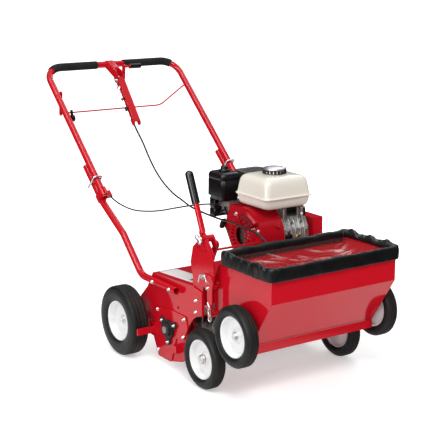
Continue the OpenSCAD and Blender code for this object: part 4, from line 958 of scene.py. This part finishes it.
# %% Tank bracket and fuel cock
FOLDED = [(-352, 555.5), (-338, 553), (-330, 540), (-328, 514)]
COCK = [(0.0, 0.0), (0.0065, 0.0), (0.007, 0.003), (0.007, 0.01), (0.011, 0.0115),
        (0.011, 0.019), (0.0095, 0.021), (0.005, 0.022), (0.005, 0.026)]
PADDLE = [(520, 0.0016), (521, 0.0), (546, 0.0), (548, 0.0016)]
bracket_form = bmesh.new()
face_strip(bracket_form, *[[at(x, y, z) for y, z in FOLDED] for x in (192, 116)])
bmesh.ops.subdivide_edges(bracket_form, edges=bracket_form.edges[:], cuts=2, use_grid_fill=True)
bmesh.ops.solidify(bracket_form, geom=bracket_form.faces[:], thickness=0.003)
place_piece(bracket_form, "tank_bracket", "cast_black")
cock_form = spin_outline(None, COCK, at(171, -372, 531), UP, 32, closed=False)
place_piece(cock_form, "fuel_cock", "zinc")
paddle_form = bmesh.new()
bridge_rings(paddle_form, [rounded_ring(paddle_form, at(171, -384, z), 0.0045 - inset,
                                        0.003 - inset / 2, 0.002, 24) for z, inset in PADDLE])
place_piece(paddle_form, "fuel_cock_paddle", "black_plastic")

# %% [markdown]
# ## Knob of the depth lever
# The lever is locked by a small cast T: a hub with a bar across it. Both are spun, the hub round
# the pin and the bar round its own length with a slight waist, and they sink into each other as a
# casting does.

# %% Cast T knob
HALF_BAR = [(0.0, 0.0198), (0.004, 0.0196), (0.0068, 0.0178), (0.0078, 0.014), (0.0074, 0.01)]
BAR = [(r, -d) for r, d in HALF_BAR] + [(0.0064, 0.0)] + HALF_BAR[::-1]
HUB = [(0.0062, -0.0079), (0.0105, -0.0079), (0.0112, -0.007), (0.0108, -0.004),
       (0.008, 0.001), (0.0062, 0.002)]
knob_low, knob_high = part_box("lever_knob")
knob_middle = (knob_low + knob_high) / 2
bar_way = Vector((0, 8, 5)).normalized()
knob_form = spin_outline(None, BAR, knob_middle, bar_way, 36, closed=False)
spin_outline(knob_form, HUB, knob_middle, RIGHT, 36)
place_piece(knob_form, "lever_knob_cast", "zinc", body="lever_knob", replaces="lever_knob",
            levels=1)

# %% [markdown]
# ## Sleeve of the seed lever
# The cross handle of the seed lever ends in a black sleeve with finger rings. It is one more spun
# outline, closed at the outer end.

# %% Ribbed sleeve
SLEEVE_LONG, SLEEVE_HIGH = 0.05, 0.968
FINGER_RING, RING_PITCH = [(0.01, 0.002), (0.01, 0.005), (0.0093, 0.0062)], 0.006
sleeve_at = Vector((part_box("seed_lever")[1].x - SLEEVE_LONG, at(0, 597, 0).y, SLEEVE_HIGH))
outline = [(0.0085, -0.0004), (0.0094, -0.0004)]
for k in range(8):
    outline += [(r, d + k * RING_PITCH) for r, d in FINGER_RING]
outline += [(0.0096, 0.0502), (0.008, 0.0508), (0.0, 0.0509)]
sleeve_form = spin_outline(None, outline, sleeve_at, (1, 0, 0), 40, closed=False)
place_piece(sleeve_form, "seed_lever_sleeve", "black_plastic", body="seed_lever")

# %% [markdown]
# ## Adjuster beside the seed lever
# A threaded rod with nuts lies along the right side of the lever's bracket and sets how far the
# seed gate opens. The rod is spun, and the nuts and the clamp bolts come from the bolt helper.

# %% Threaded adjuster
THREADS, THREAD_PITCH = 44, 0.003
rod_top = at(-30, 574, 888)
rod_way = (at(-30, 470, 758) - rod_top).normalized()
outline = [(0.0, 0.0), (0.0042, 0.0), (0.0048, 0.001), (0.0048, 0.009), (0.0042, 0.01),
           (0.0027, 0.0102)]
for k in range(THREADS):
    outline += [(0.0029, 0.012 + k * THREAD_PITCH), (0.0023, 0.0135 + k * THREAD_PITCH)]
outline += [(0.0036, 0.1445), (0.0046, 0.147), (0.0036, 0.1545), (0.0, 0.156)]
rod_form = spin_outline(None, outline, rod_top, rod_way, 24, closed=False)
hex_bolt(rod_form, at(-26.4, 596, 914), RIGHT, 0.013, 0.006, 0.0105)
hex_bolt(rod_form, at(-26.4, 574, 888), RIGHT, 0.01, 0.0075, 0.0085)
place_piece(rod_form, "seed_adjuster_rod", "zinc")
nut_form = bmesh.new()
for along in (0.052, 0.094, 0.102):
    hex_bolt(nut_form, rod_top + rod_way * along, rod_way, 0.0125, 0.0065)
place_piece(nut_form, "seed_adjuster_nuts", "cast_black")

# %% [markdown]
# ## Seam of the hopper
# Just above the hopper's base the sheet overlaps itself, and the shadow under its edge is painted
# as a thin dark line. It is one long face laid on the slope and given a thickness.

# %% Seam above the base
SEAM = [(-665.0, 204.6), (-666.5, 206.9)]
SHEET = 0.0008
seam_form = bmesh.new()
face_strip(seam_form, *[[at(x, y, z) for x in (-253, 253)] for y, z in SEAM])
bmesh.ops.solidify(seam_form, geom=seam_form.faces[:], thickness=SHEET)
# The dark strip is painted shadow, standing for the shade under the overlapped edge.
place_piece(seam_form, "hopper_seam_shadow", "seam_dark", slot="red_paint")

# %% [markdown]
# ## Panel on the deck
# A plain pale panel lies on the deck beside the engine. It is a grid bent to the slope of the deck,
# with a small thickness, and it is blank. Where the depth link comes up through the deck, the panel
# is cut out.


# %% Blank panel
def deck_top(y):
    """Height of the sloping deck in millimetres."""
    return 317 + 4 + (-110 - y) / 270 * 16


LINK_ROOM, SLOT_BACK = 0.009, at(0, -286, 0).y
panel_form = bmesh.new()
bmesh.ops.create_grid(panel_form, x_segments=8, y_segments=20, size=0.5)
for vert in panel_form.verts:
    y = -225 + vert.co.y * 215
    vert.co = at(-229 + vert.co.x * 70, y, deck_top(y) + 0.9)
link_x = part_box("depth_link")[0].x
over_slot = [f for f in panel_form.faces if f.calc_center_median().x > link_x - LINK_ROOM
             and f.calc_center_median().y < SLOT_BACK]
bmesh.ops.delete(panel_form, geom=over_slot, context="FACES")
corner_verts = [v for v in panel_form.verts if len(v.link_faces) == 1]
bmesh.ops.bevel(panel_form, geom=corner_verts, offset=0.006, segments=4, profile=0.5,
                affect="VERTICES", material=-1)
bmesh.ops.solidify(panel_form, geom=panel_form.faces[:], thickness=SHEET)
place_piece(panel_form, "deck_panel", "pale_film", slot="white_paint")

# %% [markdown]
# ## Floor
# The machine stands on a seamless white floor. To the camera the floor turns plain white a little
# way off, where the lamps no longer reach it, and close to the machine it keeps its shadow. In
# reflections it is pale near the machine and dark further off, which makes glossy paint look deep.

# %% White floor
WHITE_FROM, WHITE_AT = 0.9, 2.0
PALE_MIDDLE, PALE_TO, DARK_FROM = (-0.1, 0.1, 0), 1.15, 1.27


def rays(tone):
    """Light Path outputs for the camera, for reflections and for clear sheets."""
    names = ("Is Camera Ray", "Is Glossy Ray", "Is Transmission Ray")
    return [tone.node("ShaderNodeLightPath", out=name) for name in names]


def floor_draw(tone, where):
    by_eye, by_gloss, by_clear = rays(tone)
    reach = tone.node("ShaderNodeVectorMath", {"operation": "LENGTH"}, {0: where}, "Value")
    pale_reach = tone.node("ShaderNodeVectorMath", {"operation": "DISTANCE"},
                           {0: where, 1: PALE_MIDDLE}, "Value")
    far_off = reach.between(WHITE_FROM, WHITE_AT)
    dim = by_gloss * pale_reach.between(PALE_TO, DARK_FROM)
    glow = (by_eye + by_clear) * (0.42 + far_off * 0.6) + by_gloss * 0.3 - dim * 0.3
    return {"Emission Color": glow.blend((0, 0, 0), (1, 1, 1)),
            "Base Color": dim.blend((0.93, 0.93, 0.93), (0.08, 0.08, 0.08))}


finish("floor_paint", floor_draw, Roughness=0.9, Specular_IOR_Level=0.0, Emission_Strength=1.0)
floor_form = bmesh.new()
bmesh.ops.create_grid(floor_form, x_segments=2, y_segments=2, size=14)
floor = add_object("floor", to_mesh(floor_form, "floor"))
floor.data.materials.append(finishes["floor_paint"])
print("floor", floor.dimensions[:])

# %% [markdown]
# ## Room
# The camera sees a white room. In reflections the room is dark at the level of the machine and
# white overhead, and one upright strip of it is very bright and draws a thin line along every tube.

# %% Studio world
STRIP_TURN = radians(200)
AMBIENT, ROOM_DARK, STRIP_BRIGHT = 0.55, 0.05, 6
world = bpy.data.worlds.new("studio")
scene.world = world
world.use_nodes = True
sky = world.node_tree.nodes["Background"]
sky.inputs["Color"].default_value = (1, 1, 1, 1)
studio = Tone(world.node_tree)
view_way = studio.node("ShaderNodeTexCoord")
east, north, upward = [studio.node("ShaderNodeSeparateXYZ", None, {0: view_way}, axis)
                       for axis in "XYZ"]
by_eye, by_gloss, by_clear = rays(studio)
overhead = upward.between(0.45, 0.9)
strip_side = north * cos(STRIP_TURN) - east * sin(STRIP_TURN)
strip_ahead = north * sin(STRIP_TURN) + east * cos(STRIP_TURN)
strip = 1 - (strip_side * strip_side).between(0.03, 0.06)
strip = strip * strip_ahead.between(0.1, 0.3) * upward.between(0.02, 0.1)
ambient = (1 - by_eye) * (1 - by_gloss) * (1 - by_clear) * AMBIENT
mirrored = ROOM_DARK + overhead * (1 - ROOM_DARK) + strip * STRIP_BRIGHT
strength = by_eye + by_clear + by_gloss * mirrored + ambient
world.node_tree.links.new(strength.socket, sky.inputs["Strength"])
print("world", world.name, len(world.node_tree.nodes), "nodes")

# %% [markdown]
# ## Lamps
# Three large soft lamps: the key from the front, above the hopper, a tall fill from the camera's
# left and a rim light behind. Large lamps give soft shadows.

# %% Soft lamps
# Name, place, width, height and watts.
LAMPS = [("key", (-1.2, -2.6, 3.2), 1.5, 1.5, 62),
         ("fill", (-3.2, -0.4, 2.0), 1.4, 2.4, 28),
         ("rim", (2.2, 1.6, 2.8), 2.0, 2.0, 30)]
middle = (cad_low + cad_high) / 2
for name, place, wide, tall, watts in LAMPS:
    light = bpy.data.lights.new(name, "AREA")
    light.shape = "ELLIPSE"
    light.size, light.size_y = wide, tall
    light.energy = watts
    lamp = add_object(name, light)
    lamp.location = place
    lamp.rotation_euler = (middle - Vector(place)).to_track_quat("-Z", "Y").to_euler()
    print("lamp", name, watts, "W")
